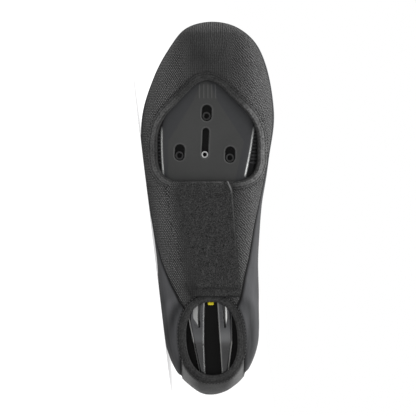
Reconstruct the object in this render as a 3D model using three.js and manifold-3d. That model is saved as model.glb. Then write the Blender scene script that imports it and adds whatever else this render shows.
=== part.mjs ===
// A road-cycling overshoe for the right foot, drawn over the sole that shows through its two cut-outs.
// Lengths are millimetres. The shoe is worked out standing: +X to the little toe, +Y to the toe, +Z up.
// The finished group lies on its outer side, with the sole facing -Y and the toe pointing to -X.
import * as THREE from "three";
import { mergeVertices } from "three/addons/utils/BufferGeometryUtils.js";
import { ConvexHull } from "three/addons/math/ConvexHull.js";
import Module from "manifold-3d";

const wasm = await Module();
wasm.setup();

// Driving sizes
const length = 280; // toe tip to heel back
const ballWidth = 99; // across the ball, outside the cover
const edgeHeight = 26; // where the cover is widest, above the floor of the sole
const toeSpring = 15;
const archRise = 5;
const toeRoll = 30; // length over which the underside rolls up into the toe
const heelRoll = 20;
const flatShare = 0.6; // share of the half width that is flat underneath
const collarHeight = 146;
const collarLength = 92;
const collarWidth = 68;
const collarSetBack = 70; // centre of the collar, behind the middle of the length
const wall = 2;
const hemHeight = 9; // folded hem at the collar
const hemStep = 0.7;
const gap = 0.3; // clearance between neighbouring pieces
const restPress = 1; // how far the cloth flattens where the shoe lies on it

// Sole
const soleThickness = 6.4;
const slotDepth = 4.2;
const boltSpread = 37.8; // between the two rear cleat holes
const boltReach = 30.4; // from those to the front one
const cleatTurn = 0.045; // the cleat pattern is turned a little inward at the toe, radians
const cleatSlot = { width: 7.4, length: 12 };
const centreSlot = { width: 4.9, length: 22.4, ahead: 7.9 };
const nut = { outer: 3.1, bore: 2, height: 2.6, setBack: 2.4 };
const grommet = { outer: 2.2, bore: 1.1, height: 3.4 };
const troughDepth = 2.6; // steps at both sides of the cleat plate
const rib = { pitch: 2.7, width: 1.4, height: 1.1, count: 9 };
const wellMargin = 4; // the heel well runs this far under the cover
const wellDepth = 3.6;
const padChamfer = 1.5;
const padDrop = 1.4;
const padInset = 0.1; // the pads lie this far inside the face of the sole
const padSlot = { width: 1.3, length: 17, depth: 1.6 };

// Cover trim
const cleatTape = { width: 6.3, thickness: 1.1 };
const heelTape = { width: 5.6, thickness: 1.1 };
const flapThickness = 1.3;
const flapLift = 0.35; // over the underside panel
const flapClimb = 7; // length over which the flap rises onto the tape at each end
const hem = { width: 5.5, step: 0.5 };
const heelPanel = { lateral: 20.5, medial: 27.5, top: 60, corner: 14, setBack: 9.7 };
const inlay = { width: 4.6, length: 2.6, height: 1.2 };

// Depths to which tools cut
const cutReach = 20; // past the underside and the heel
const seamCut = { outside: 3, inside: 6 }; // to each side of the skin along the seams
const tapeSeat = 0.1; // hollow under the middle of a tape

// Every 15 degrees from the toe tip round to the heel: reach to each side and how high the bottom and
// the widest line lie, as shares of half the ball width, toeSpring, archRise and edgeHeight.
const stations = [
  { lateral: -0.045, medial: 0.045, spring: 1.0, arch: 0, edge: 1.04 },
  { lateral: 0.327, medial: 0.455, spring: 0.93, arch: 0, edge: 1.0 },
  { lateral: 0.568, medial: 0.756, spring: 0.64, arch: 0, edge: 0.93 },
  { lateral: 0.811, medial: 0.915, spring: 0.26, arch: 0, edge: 0.85 },
  { lateral: 0.992, medial: 0.995, spring: 0.04, arch: 0, edge: 0.78 },
  { lateral: 1.0, medial: 0.92, spring: 0, arch: 0, edge: 0.78 },
  { lateral: 0.883, medial: 0.81, spring: 0, arch: 0.45, edge: 0.9 },
  { lateral: 0.776, medial: 0.76, spring: 0, arch: 1.0, edge: 1.05 },
  { lateral: 0.735, medial: 0.768, spring: 0, arch: 0.45, edge: 1.08 },
  { lateral: 0.655, medial: 0.753, spring: 0, arch: 0, edge: 1.05 },
  { lateral: 0.49, medial: 0.583, spring: 0, arch: 0, edge: 1.05 },
  { lateral: 0.23, medial: 0.34, spring: 0, arch: 0, edge: 1.08 },
  { lateral: -0.02, medial: 0.02, spring: 0, arch: 0, edge: 1.08 },
];

// Control rings of the upper between its widest line and the collar: how far each has moved over to the
// collar's outline, how much it is pinched, and its height at the toe and heel as shares of collarHeight.
const rings = [
  { toward: 0, pinch: 1, front: 0.31, back: 0.42 },
  { toward: 0.46, pinch: 0.86, front: 0.33, back: 0.6 },
  { toward: 1, pinch: 0.96, front: 0.58, back: 0.78 },
  { toward: 1, pinch: 1, front: 0.955, back: 1 },
];

// Plan outlines: x in half ball widths to the little toe, y in half lengths to the toe. reach rounds a
// corner off along its sides.
const cleatOpening = [
  { x: 0.016, y: 0.724, reach: 0.34 },
  { x: 0.774, y: 0.447, reach: 0.3 },
  { x: 0.76, y: 0.142, reach: 0.38 },
  { x: -0.756, y: 0.144, reach: 0.38 },
  { x: -0.752, y: 0.451, reach: 0.3 },
];
const heelOpening = { x: -0.058, y: -0.697, halfWidth: 0.385, halfLength: 0.196, lean: 0.06, power: 2.3 };
const flapEdges = [
  { y: 0.146, lateral: 0.535, medial: -0.315 },
  { y: 0.104, lateral: 0.63, medial: -0.368 },
  { y: -0.05, lateral: 0.576, medial: -0.408 },
  { y: -0.229, lateral: 0.455, medial: -0.442 },
  { y: -0.414, lateral: 0.313, medial: -0.489 },
  { y: -0.475, lateral: 0.232, medial: -0.481 },
];
const padEdges = [
  { y: -0.475, lateralOut: 0.289, lateralIn: 0.046, medialIn: -0.131, medialOut: -0.36 },
  { y: -0.593, lateralOut: 0.301, lateralIn: 0.05, medialIn: -0.15, medialOut: -0.368 },
  { y: -0.721, lateralOut: 0.228, lateralIn: 0.052, medialIn: -0.174, medialOut: -0.372 },
  { y: -0.9, lateralOut: 0.125, lateralIn: 0.03, medialIn: -0.206, medialOut: -0.31 },
];
const troughs = [
  { innerFront: 0.69, innerBack: 0.671, outer: 0.83, front: 0.471, back: 0.171 },
  { innerFront: -0.699, innerBack: -0.558, outer: -0.83, front: 0.471, back: 0.171 },
];
const cleatMiddle = { x: 0.048, y: 0.292 }; // halfway between the two rear holes

// Seams between the underside panel and the smooth upper, by angle in degrees round from the toe tip.
const seams = [
  { angle: 0, lateral: -0.1, medial: -0.1 },
  { angle: 76, lateral: -0.1, medial: -0.1 },
  { angle: 84, lateral: -0.1, medial: -0.15 },
  { angle: 90, lateral: -0.1, medial: -0.2 },
  { angle: 96, lateral: -0.1, medial: -0.27 },
  { angle: 100, lateral: -0.13, medial: -0.315 },
  { angle: 106, lateral: -0.23, medial: -0.39 },
  { angle: 111.5, lateral: -0.4, medial: -0.485 },
  { angle: 117, lateral: -0.557, medial: -0.56 },
  { angle: 122, lateral: -0.676, medial: -0.66 },
  { angle: 126, lateral: -0.707, medial: -0.645 },
];

// Point about which the lying shoe balances, as shares of length and collarHeight
const balance = { y: -0.05, z: 0.22 };

// Mesh density
const stationCount = 32;
const riseCount = 10;
const flatColumns = 3;
const rollColumns = 5;
const tapeSteps = 48;
const seamSteps = 24;
const cornerSteps = 5;
const slotSteps = 6;
const ringSides = 16;
const flapGrid = { rows: 22, columns: 6 };
const padGrid = { rows: 10, columns: 4 };

const halfLength = length / 2;
const halfBall = ballWidth / 2;
const full = 2 * Math.PI;
const heelCentre = new THREE.Vector2(heelOpening.x * halfBall, heelOpening.y * halfLength);
const heelHalfLength = heelOpening.halfLength * halfLength;
const topView = new THREE.Matrix4();
const sideView = new THREE.Matrix4().makeBasis(
  new THREE.Vector3(0, 1, 0),
  new THREE.Vector3(0, 0, 1),
  new THREE.Vector3(1, 0, 0),
);
const backView = new THREE.Matrix4().makeBasis(
  new THREE.Vector3(1, 0, 0),
  new THREE.Vector3(0, 0, 1),
  new THREE.Vector3(0, -1, 0),
);

// Smooth closed curve through one value for each 15 degrees of the whole way round.
function aroundTable(values) {
  const count = values.length;
  return (angle) => {
    const place = (((angle / full) * count) % count) + count;
    const low = Math.floor(place);
    const f = place - low;
    const [a, b, c, d] = [-1, 0, 1, 2].map((k) => values[(low + k) % count]);
    return b + 0.5 * f * (c - a + f * (2 * a - 5 * b + 4 * c - d + f * (3 * b - a - 3 * c + d)));
  };
}

// Both sides of a column that is the same to the left and right.
function mirrored(column) {
  const there = stations.map(column);
  return aroundTable([...there, ...there.slice(1, -1).reverse()]);
}

const sideX = aroundTable([
  ...stations.map((row) => row.lateral * halfBall),
  ...stations.slice(1, -1).reverse().map((row) => -row.medial * halfBall),
]);
const soleLine = mirrored((row) => row.spring * toeSpring + row.arch * archRise);
const edgeLine = mirrored((row) => row.edge * edgeHeight);

function lerp(a, b, t) {
  return a + (b - a) * t;
}

// Straight interpolation between the rows of a table, which are in the order of one column.
function inTable(rows, key, value, column) {
  const rising = rows[1][key] > rows[0][key];
  let i = 1;
  while (i < rows.length - 1 && value > rows[i][key] === rising) i += 1;
  const [a, b] = [rows[i - 1], rows[i]];
  return lerp(a[column], b[column], (value - a[key]) / (b[key] - a[key]));
}

// Quarter-ellipse that closes an end of the underside.
function endRoll(distance, roll) {
  return distance >= roll ? 1 : Math.sqrt(Math.max(0, 1 - (1 - distance / roll) ** 2));
}

function angleAt(y) {
  return Math.acos(THREE.MathUtils.clamp(y / halfLength, -1, 1));
}

function sectionAt(angle) {
  const y = halfLength * Math.cos(angle);
  const right = sideX(angle);
  const left = sideX(full - angle);
  const depth = edgeLine(angle) - soleLine(angle);
  const rolled = depth * endRoll(halfLength - y, toeRoll) * endRoll(halfLength + y, heelRoll);
  return { y, middle: (right + left) / 2, half: (right - left) / 2, edge: edgeLine(angle), depth: rolled };
}

// Height of the cover's underside over a point of the plan.
function undersideHeight(x, y) {
  const s = sectionAt(angleAt(y));
  const out = Math.abs(x - s.middle) / s.half;
  const rolled = Math.min(1, Math.max(0, (out - flatShare) / (1 - flatShare)));
  return s.edge - s.depth * Math.sqrt(1 - rolled * rolled);
}

function collarPoint(angle) {
  return { x: (collarWidth / 2) * Math.sin(angle), y: (collarLength / 2) * Math.cos(angle) - collarSetBack };
}

// The outer skin: v from -1 at the middle of the sole to 0 at the widest line and 1 at the collar.
function skin(angle, v) {
  const turn = ((angle % full) + full) % full;
  const under = turn <= Math.PI ? turn : full - turn;
  const s = sectionAt(under);
  const side = turn <= Math.PI ? 1 : -1;
  if (v <= 0) {
    const columns = flatColumns + rollColumns;
    const place = (1 + v) * columns;
    const roll = Math.max(0, ((place - flatColumns) / rollColumns) * (Math.PI / 2));
    const out = place < flatColumns
      ? (flatShare * place) / flatColumns
      : flatShare + (1 - flatShare) * Math.sin(roll);
    return new THREE.Vector3(s.middle + side * out * s.half, s.y, s.edge - s.depth * Math.cos(roll));
  }
  const collar = collarPoint(turn);
  const start = { x: s.middle + side * s.half, y: s.y, z: s.edge };
  const toFront = (1 + Math.cos(turn)) / 2;
  const controls = [
    start,
    ...rings.map((ring) => ({
      x: lerp(start.x, collar.x, ring.toward) * ring.pinch,
      y: lerp(start.y, collar.y, ring.toward),
      z: lerp(ring.back, ring.front, toFront) * collarHeight,
    })),
  ];
  const weights = [1, 4, 6, 4, 1].map((k, i) => k * v ** i * (1 - v) ** (4 - i));
  const sum = (axis) => controls.reduce((total, p, i) => total + weights[i] * p[axis], 0);
  return new THREE.Vector3(sum("x"), sum("y"), sum("z"));
}

// Directions of the skin: along the outline, up the side and square outward.
function skinFrame(angle, v) {
  const step = 1e-3;
  const along = skin(angle + step, v).sub(skin(angle - step, v));
  const up = skin(angle, Math.min(1, v + step)).sub(skin(angle, Math.max(-1, v - step))).normalize();
  return { up, normal: up.clone().cross(along).normalize() };
}

function hemAt(v) {
  const start = 1 - hemHeight / (collarHeight * (1 - rings[2].back));
  return v > start ? hemStep : 0;
}

// The skin moved out (or in, if negative) by an offset.
function offsetSkin(angle, v, offset) {
  return skin(angle, v).addScaledVector(skinFrame(angle, v).normal, offset);
}

// Point of a station: the two tips of the widest line are poles of the underside.
function gridPoint(column, row, offset) {
  const angle = (Math.PI * column) / stationCount;
  const v = row / riseCount;
  return offsetSkin(angle, v, offset);
}

// The plane that the shoe lies on: the nearest face of the hull on its outer side.
function findRestPlane() {
  const points = [];
  for (let column = 0; column < 2 * stationCount; column += 1)
    for (let row = 0; row <= riseCount; row += 1)
      points.push(gridPoint(column, row, hemAt(row / riseCount)));
  const hull = new ConvexHull().setFromPoints(points);
  const centre = new THREE.Vector3(0, balance.y * length, balance.z * collarHeight);
  const facing = hull.faces.filter((face) => face.normal.x > 0.9);
  const away = (face) => face.constant - face.normal.dot(centre);
  const nearest = facing.reduce((best, face) => (away(face) < away(best) ? face : best));
  return { normal: nearest.normal.clone(), height: nearest.constant };
}

const rest = findRestPlane();

// Cloth that would lie past the rest plane is pressed flat against it.
function press(point, inside) {
  const past = point.dot(rest.normal) - (rest.height - restPress - inside);
  return past > 0 ? point.addScaledVector(rest.normal, -past) : point;
}

function pressedPoint(column, row, offset, hemmed) {
  const extra = hemmed ? hemAt(row / riseCount) : 0;
  return press(gridPoint(column, row, offset + extra), -offset);
}

// Point on the underside, with an offset along its outward normal.
function onUnderside(x, y, offset) {
  const step = 0.05;
  const slopeX = (undersideHeight(x + step, y) - undersideHeight(x - step, y)) / (2 * step);
  const slopeY = (undersideHeight(x, y + step) - undersideHeight(x, y - step)) / (2 * step);
  const normal = new THREE.Vector3(slopeX, slopeY, -1).normalize();
  return new THREE.Vector3(x, y, undersideHeight(x, y)).addScaledVector(normal, offset);
}

// Geometry and solids
function meshOf(points, faces) {
  const geometry = new THREE.BufferGeometry();
  geometry.setAttribute("position", new THREE.Float32BufferAttribute(points.flatMap((p) => p.toArray()), 3));
  geometry.setIndex(faces.flat());
  return geometry;
}

function solid(geometry) {
  const bare = geometry.clone();
  bare.deleteAttribute("normal");
  bare.deleteAttribute("uv");
  const merged = mergeVertices(bare, 1e-4);
  const corners = Array.from(merged.index.array);
  const whole = corners.map((_, i) => {
    const [a, b, c] = corners.slice(i - (i % 3), i - (i % 3) + 3);
    return a !== b && b !== c && c !== a;
  });
  const triangles = new Uint32Array(corners.filter((_, i) => whole[i]));
  const build = () => new wasm.Manifold(new wasm.Mesh({
    numProp: 3,
    vertProperties: merged.attributes.position.array,
    triVerts: triangles,
  }));
  const made = build();
  if (made.volume() > 0) return made;
  for (let i = 0; i < triangles.length; i += 3)
    [triangles[i + 1], triangles[i + 2]] = [triangles[i + 2], triangles[i + 1]];
  return build();
}

function prism(outline, low, high, view) {
  const shape = new THREE.Shape(outline.map((p) => new THREE.Vector2(p.x, p.y)));
  const geometry = new THREE.ExtrudeGeometry(shape, { depth: high - low, bevelEnabled: false });
  return solid(geometry.translate(0, 0, low).applyMatrix4(view));
}

function quad(a, b, c, d) {
  return [a, b, c, a, c, d];
}

// Open surface of the skin from the middle of the sole up to one row: points, faces and the rim's loop.
function skinSurface(offset, hemmed, lastRow) {
  const around = 2 * stationCount;
  const columns = flatColumns + rollColumns;
  const across = 2 * columns;
  const points = [];
  const faces = [];
  for (let row = 0; row <= lastRow; row += 1)
    for (let column = 0; column < around; column += 1)
      points.push(pressedPoint(column, row, offset, hemmed));
  const upper = (column, row) => row * around + (column % around);
  for (let row = 0; row < lastRow; row += 1)
    for (let column = 0; column < around; column += 1) {
      const [a, b] = [upper(column, row), upper(column, row + 1)];
      faces.push(quad(a, b, upper(column + 1, row + 1), upper(column + 1, row)));
    }
  const first = points.length;
  for (let station = 1; station < stationCount; station += 1)
    for (let k = 1; k < across; k += 1) {
      const angle = (Math.PI * station) / stationCount;
      const v = -Math.abs(k - columns) / columns;
      points.push(press(offsetSkin(k <= columns ? angle : full - angle, -1 - v, offset), -offset));
    }
  const under = (station, k) => {
    if (station === 0) return upper(0, 0);
    if (station === stationCount) return upper(stationCount, 0);
    if (k === 0) return upper(station, 0);
    if (k === across) return upper(around - station, 0);
    return first + (station - 1) * (across - 1) + k - 1;
  };
  for (let station = 0; station < stationCount; station += 1)
    for (let k = 0; k < across; k += 1) {
      const [a, b] = [under(station, k), under(station + 1, k)];
      const [c, d] = [under(station + 1, k + 1), under(station, k + 1)];
      if (station === 0) faces.push([a, b, c]);
      else if (station === stationCount - 1) faces.push([a, b, d]);
      else faces.push(quad(a, b, c, d));
    }
  const rim = Array.from({ length: around }, (_, column) => upper(column, lastRow));
  return { points, faces, rim };
}

function reversed(faces, shift) {
  return faces.map((face) => face.map((v) => v + shift).reverse());
}

// Hollow shell of the whole cover, open at the collar.
function makeShell() {
  const outer = skinSurface(0, true, riseCount);
  const inner = skinSurface(-wall, false, riseCount);
  const shift = outer.points.length;
  const rim = outer.rim.map((a, i) => {
    const b = outer.rim[(i + 1) % outer.rim.length];
    return quad(a, a + shift, b + shift, b);
  });
  const faces = [...outer.faces, ...reversed(inner.faces, shift), ...rim];
  return solid(meshOf([...outer.points, ...inner.points], faces));
}

// What fills the inside of the cover up to a row, with a flat lid.
function makeFilling(offset, lastRow) {
  const { points, faces, rim } = skinSurface(offset, false, lastRow);
  const lid = [];
  for (let i = 0; i < stationCount; i += 1) {
    const [a, b] = [rim[i], rim[i + 1]];
    const [c, d] = [rim[(2 * stationCount - i - 1) % rim.length], rim[(2 * stationCount - i) % rim.length]];
    if (i === 0) lid.push([a, c, b]);
    else if (i === stationCount - 1) lid.push([a, d, b]);
    else lid.push(quad(a, d, c, b));
  }
  return solid(meshOf(points, [...faces, ...lid]));
}

// Closed slab between two grids of points.
function slab(rows, columns, outer, inner) {
  const points = [];
  for (const face of [outer, inner])
    for (let i = 0; i <= rows; i += 1)
      for (let j = 0; j <= columns; j += 1) points.push(face(i / rows, j / columns));
  const at = (side, i, j) => side * (rows + 1) * (columns + 1) + i * (columns + 1) + j;
  const faces = [];
  for (let i = 0; i < rows; i += 1)
    for (let j = 0; j < columns; j += 1) {
      faces.push(quad(at(0, i, j), at(0, i + 1, j), at(0, i + 1, j + 1), at(0, i, j + 1)));
      faces.push(quad(at(1, i, j), at(1, i, j + 1), at(1, i + 1, j + 1), at(1, i + 1, j)));
    }
  for (let i = 0; i < rows; i += 1) {
    faces.push(quad(at(0, i, 0), at(1, i, 0), at(1, i + 1, 0), at(0, i + 1, 0)));
    faces.push(quad(at(0, i, columns), at(0, i + 1, columns), at(1, i + 1, columns), at(1, i, columns)));
  }
  for (let j = 0; j < columns; j += 1) {
    faces.push(quad(at(0, 0, j), at(0, 0, j + 1), at(1, 0, j + 1), at(1, 0, j)));
    faces.push(quad(at(0, rows, j), at(1, rows, j), at(1, rows, j + 1), at(0, rows, j + 1)));
  }
  return solid(meshOf(points, faces));
}

// Plan outlines of the openings
function roundedOutline(corners) {
  const path = new THREE.Path();
  const places = corners.map((corner) => new THREE.Vector2(corner.x * halfBall, corner.y * halfLength));
  const at = (i) => places[(i + places.length) % places.length];
  corners.forEach((corner, i) => {
    const here = at(i);
    const from = at(i - 1).clone().sub(here).setLength(corner.reach * halfBall).add(here);
    const to = at(i + 1).clone().sub(here).setLength(corner.reach * halfBall).add(here);
    if (i === 0) path.moveTo(from.x, from.y);
    else path.lineTo(from.x, from.y);
    path.quadraticCurveTo(here.x, here.y, to.x, to.y);
  });
  path.closePath();
  return path.getSpacedPoints(tapeSteps).slice(0, tapeSteps);
}

// Oval of the heel opening, a little squarer than an ellipse and leaning inward at the front.
function heelOval() {
  const bend = (value) => Math.sign(value) * Math.abs(value) ** (2 / heelOpening.power);
  const halfWidth = heelOpening.halfWidth * halfBall;
  const centre = new THREE.Vector2();
  return Array.from({ length: tapeSteps }, (_, i) => {
    const turn = (full * i) / tapeSteps;
    const point = new THREE.Vector2(halfWidth * bend(Math.sin(turn)), heelHalfLength * bend(Math.cos(turn)));
    return point.rotateAround(centre, -heelOpening.lean).add(heelCentre);
  });
}

// Outward normals of a closed plan outline.
function outlineNormals(outline) {
  const count = outline.length;
  const area = outline.reduce((sum, p, i) => sum + p.cross(outline[(i + 1) % count]), 0);
  return outline.map((p, i) => {
    const along = outline[(i + 1) % count].clone().sub(outline[(i + count - 1) % count]).normalize();
    return new THREE.Vector2(along.y, -along.x).multiplyScalar(Math.sign(area));
  });
}

function grown(outline, distance) {
  const normals = outlineNormals(outline);
  return outline.map((p, i) => p.clone().addScaledVector(normals[i], distance));
}

const cleatOutline = roundedOutline(cleatOpening);
const heelOutline = heelOval();

// Tape that covers the cut edge of an opening and lies on the cover around it.
function makeTape(outline, tape) {
  const top = gap + tape.thickness;
  const profile = [
    [0, -wall],
    [0, 0.4 * top],
    [0.7 * tape.thickness, top],
    [tape.width - 0.5 * tape.thickness, top],
    [tape.width, gap + 0.3 * tape.thickness],
    [tape.width, gap],
    [(tape.thickness + tape.width) / 2, gap + tapeSeat],
    [tape.thickness, gap],
    [tape.thickness, -wall],
  ];
  const normals = outlineNormals(outline);
  const points = outline.flatMap((p, i) => profile.map(([out, up]) => {
    const place = p.clone().addScaledVector(normals[i], out);
    return onUnderside(place.x, place.y, up);
  }));
  const count = profile.length;
  const at = (i, j) => (i % outline.length) * count + (j % count);
  const faces = outline.flatMap((_, i) => profile.map((__, j) =>
    quad(at(i, j), at(i + 1, j), at(i + 1, j + 1), at(i, j + 1))));
  return solid(meshOf(points, faces));
}

// Solid round the underside panel. Its walls stand square to the skin along both seams.
function seamRegion(growth) {
  const last = seams[seams.length - 1].angle;
  const wallAt = (angle, column) => {
    const turn = THREE.MathUtils.degToRad(column === "lateral" ? angle : 360 - angle);
    const v = angle === 0 ? 0 : inTable(seams, "angle", angle, column);
    const { up, normal } = skinFrame(turn, v);
    const edge = skin(turn, v).addScaledVector(up, growth);
    const outside = edge.clone().addScaledVector(normal, seamCut.outside);
    const below = new THREE.Vector3(outside.x, outside.y, -cutReach);
    return [edge.addScaledVector(normal, -seamCut.inside), outside, below];
  };
  const section = (i) => {
    const angle = (last * i) / seamSteps;
    return [...wallAt(angle, "lateral"), ...wallAt(angle, "medial").reverse()];
  };
  const points = Array.from({ length: seamSteps + 1 }, (_, i) => section(i)).flat();
  const at = (i, j) => 6 * i + (j % 6);
  const faces = [];
  for (let i = 0; i < seamSteps; i += 1)
    for (let j = 0; j < 6; j += 1) faces.push(quad(at(i, j), at(i + 1, j), at(i + 1, j + 1), at(i, j + 1)));
  for (const [i, [p, q, r, t, u, w]] of [[0, [0, 1, 2, 3, 4, 5]], [seamSteps, [5, 4, 3, 2, 1, 0]]])
    faces.push([p, q, w, q, u, w, q, r, u, r, t, u].map((j) => at(i, j)));
  return solid(meshOf(points, faces));
}

// Crescent at the back of the heel, with a rounded top.
function heelRegion(growth) {
  const { lateral, medial, top, corner } = heelPanel;
  const shape = new THREE.Shape();
  shape.moveTo(lateral + growth, -cutReach);
  shape.lineTo(lateral + growth, top - corner);
  shape.quadraticCurveTo(lateral + growth, top + growth, lateral - corner, top + growth);
  shape.lineTo(corner - medial, top + growth);
  shape.quadraticCurveTo(-medial - growth, top + growth, -medial - growth, top - corner);
  shape.lineTo(-medial - growth, -cutReach);
  const front = heelPanel.setBack - heelCentre.y - growth;
  return prism(shape.getPoints(cornerSteps), front, halfLength + cutReach, backView);
}

// Solids of the cover
function makeCover() {
  const shell = makeShell();
  const edge = (outline, tape) => prism(grown(outline, tape.thickness + gap), -cutReach, cutReach, topView);
  const cleatCut = edge(cleatOutline, cleatTape);
  const heelCut = edge(heelOutline, heelTape);
  const open = shell.subtract(cleatCut).subtract(heelCut);
  return {
    upper: open.subtract(seamRegion(gap)).subtract(heelRegion(gap)),
    underside_panel: open.intersect(seamRegion(0)),
    heel_panel: open.intersect(heelRegion(0)),
  };
}

// The flap bridges the tape at both of its ends, so it rises there.
function makeFlap() {
  const first = flapEdges[0].y * halfLength;
  const last = flapEdges[flapEdges.length - 1].y * halfLength;
  const low = (y) => {
    const near = Math.min(first - y, y - last);
    const over = THREE.MathUtils.smoothstep(cleatTape.width + flapClimb - near, 0, flapClimb);
    return flapLift + (cleatTape.thickness + gap) * over;
  };
  const high = (y) => low(y) + flapThickness + (y - last < hem.width ? hem.step : 0);
  const face = (height) => (i, j) => {
    const y = lerp(first, last, i);
    const edge = (column) => halfBall * inTable(flapEdges, "y", y / halfLength, column);
    return onUnderside(lerp(edge("lateral"), edge("medial"), j), y, height(y));
  };
  return slab(flapGrid.rows, flapGrid.columns, face(high), face(low));
}

// Sole
const soleFace = -(wall + gap);

// Slot with round ends that lies along the cleat pattern.
function stadium({ width, length: long }, place, turn = cleatTurn) {
  const round = width / 2;
  const straight = long / 2 - round;
  const shape = new THREE.Shape();
  shape.absarc(0, straight, round, 0, Math.PI);
  shape.absarc(0, -straight, round, Math.PI, full);
  const centre = new THREE.Vector2();
  return shape.getPoints(slotSteps).slice(0, -1).map((p) => p.rotateAround(centre, turn).add(place));
}

// Step at one side of the cleat plate, with ribs left standing across it.
function troughCutter(trough) {
  const [front, back] = [trough.front * halfLength, trough.back * halfLength];
  const inner = (y) => halfBall * lerp(trough.innerBack, trough.innerFront, (y - back) / (front - back));
  const outer = trough.outer * halfBall;
  const box = (y0, y1) => [
    { x: inner(y0), y: y0 },
    { x: outer, y: y0 },
    { x: outer, y: y1 },
    { x: inner(y1), y: y1 },
  ];
  const face = troughDepth - soleFace;
  let cutter = prism(box(front, back), -cutReach, face, topView);
  for (let i = 0; i < rib.count; i += 1) {
    const y = (front + back) / 2 + (i - (rib.count - 1) / 2) * rib.pitch;
    const bar = box(y + rib.width / 2, y - rib.width / 2);
    cutter = cutter.subtract(prism(bar, face - rib.height, face + cutReach, topView));
  }
  return cutter;
}

function footbedSlab() {
  const line = Array.from({ length: stationCount + 1 }, (_, i) => {
    const angle = (Math.PI * i) / stationCount;
    return { x: halfLength * Math.cos(angle), y: soleLine(angle) - soleFace + soleThickness };
  });
  const corners = [{ x: -halfLength, y: -cutReach }, { x: halfLength, y: -cutReach }];
  return prism([...corners, ...line], -ballWidth, ballWidth, sideView);
}

const wellFloor = -soleFace + wellDepth;

// Place of something in the cleat pattern, given as across and ahead of the middle of the rear holes.
function inPattern(across, ahead) {
  const middle = new THREE.Vector2(cleatMiddle.x * halfBall, cleatMiddle.y * halfLength);
  return new THREE.Vector2(across, ahead).rotateAround(new THREE.Vector2(), cleatTurn).add(middle);
}

const cleatHoles = {
  front: inPattern(0, boltReach),
  lateral: inPattern(boltSpread / 2, 0),
  medial: inPattern(-boltSpread / 2, 0),
};

function slotFloor(place) {
  return undersideHeight(place.x, place.y) - soleFace + slotDepth;
}

function makeSole() {
  let sole = makeFilling(soleFace, 1).intersect(footbedSlab());
  for (const trough of troughs) sole = sole.subtract(troughCutter(trough));
  const slots = Object.values(cleatHoles).map((hole) => [cleatSlot, hole]);
  slots.push([centreSlot, inPattern(0, centreSlot.ahead)]);
  for (const [size, place] of slots)
    sole = sole.subtract(prism(stadium(size, place), -cutReach, slotFloor(place), topView));
  return sole.subtract(prism(grown(heelOutline, wellMargin), -cutReach, wellFloor, topView));
}

// Ring that stands in a slot, on the slot's floor.
function makeRing({ outer, bore, height }, place, floor) {
  const profile = [[bore, 0], [outer, 0], [outer, height], [bore, height], [bore, 0]];
  const geometry = new THREE.LatheGeometry(profile.map(([r, h]) => new THREE.Vector2(r, h)), ringSides);
  return solid(geometry.rotateX(Math.PI / 2).translate(place.x, place.y, floor - gap - height));
}

function makePad(outColumn, inColumn) {
  const [first, last] = [padEdges[0].y, padEdges[padEdges.length - 1].y];
  const place = (i, j) => {
    const y = lerp(first, last, i);
    const [from, to] = [outColumn, inColumn].map((column) => halfBall * inTable(padEdges, "y", y, column));
    const share = padChamfer / Math.abs(to - from);
    const across = [0, share, 0.5, 1 - share, 1][Math.round(j * padGrid.columns)];
    return { x: lerp(from, to, across), y: y * halfLength, low: across === 0 || across === 1 };
  };
  const top = (i, j) => {
    const { x, y, low } = place(i, j);
    return onUnderside(x, y, soleFace - (low ? padDrop : padInset));
  };
  const foot = (i, j) => {
    const { x, y } = place(i, j);
    return new THREE.Vector3(x, y, wellFloor - gap);
  };
  const well = prism(grown(heelOutline, wellMargin - gap), -cutReach, wellFloor, topView);
  const middle = (halfBall * (padEdges[0][outColumn] + padEdges[0][inColumn])) / 2;
  const groove = stadium(padSlot, new THREE.Vector2(middle, first * halfLength - padSlot.length / 2), 0);
  const slot = prism(groove, -cutReach, padSlot.depth - soleFace, topView);
  return slab(padGrid.rows, padGrid.columns, top, foot).intersect(well).subtract(slot);
}

// Small block at the front of the groove between the heel pads.
function makeInlay() {
  const middle = (halfBall * (padEdges[0].lateralIn + padEdges[0].medialIn)) / 2;
  const block = new THREE.BoxGeometry(inlay.width, inlay.length, inlay.height);
  const y = heelCentre.y + heelHalfLength - inlay.length / 2;
  return solid(block.translate(middle, y, wellFloor - gap - inlay.height / 2));
}

// Looks of each piece
const finishes = {
  coated: { color: 0x4a4b4d, roughness: 0.5 },
  weave: { color: 0x3f3f40, roughness: 0.9 },
  tape: { color: 0x353535, roughness: 0.85 },
  plate: { color: 0x3d3e41, roughness: 0.5 },
  pad: { color: 0x3a3b3e, roughness: 0.25 },
  steel: { color: 0xb9bbbd, roughness: 0.3, metalness: 1 },
  blackSteel: { color: 0x242424, roughness: 0.4, metalness: 1 },
  yellow: { color: 0xd9c400, roughness: 0.6 },
};

const cover = makeCover();
const pieces = {
  upper: [cover.upper, "coated"],
  underside_panel: [cover.underside_panel, "weave"],
  heel_panel: [cover.heel_panel, "coated"],
  cleat_tape: [makeTape(cleatOutline, cleatTape), "tape"],
  heel_tape: [makeTape(heelOutline, heelTape), "tape"],
  flap: [makeFlap(), "weave"],
  sole_plate: [makeSole(), "plate"],
  heel_pad_lateral: [makePad("lateralOut", "lateralIn"), "pad"],
  heel_pad_medial: [makePad("medialOut", "medialIn"), "pad"],
  groove_inlay: [makeInlay(), "yellow"],
};
const grommetPlace = inPattern(0, centreSlot.ahead - (centreSlot.length - centreSlot.width) / 2);
pieces.centre_grommet = [makeRing(grommet, grommetPlace, slotFloor(inPattern(0, centreSlot.ahead))), "steel"];
for (const [name, hole] of Object.entries(cleatHoles)) {
  const place = new THREE.Vector2(0, -nut.setBack).rotateAround(new THREE.Vector2(), cleatTurn).add(hole);
  pieces[`cleat_nut_${name}`] = [makeRing(nut, place, slotFloor(hole)), "blackSteel"];
}

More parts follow.
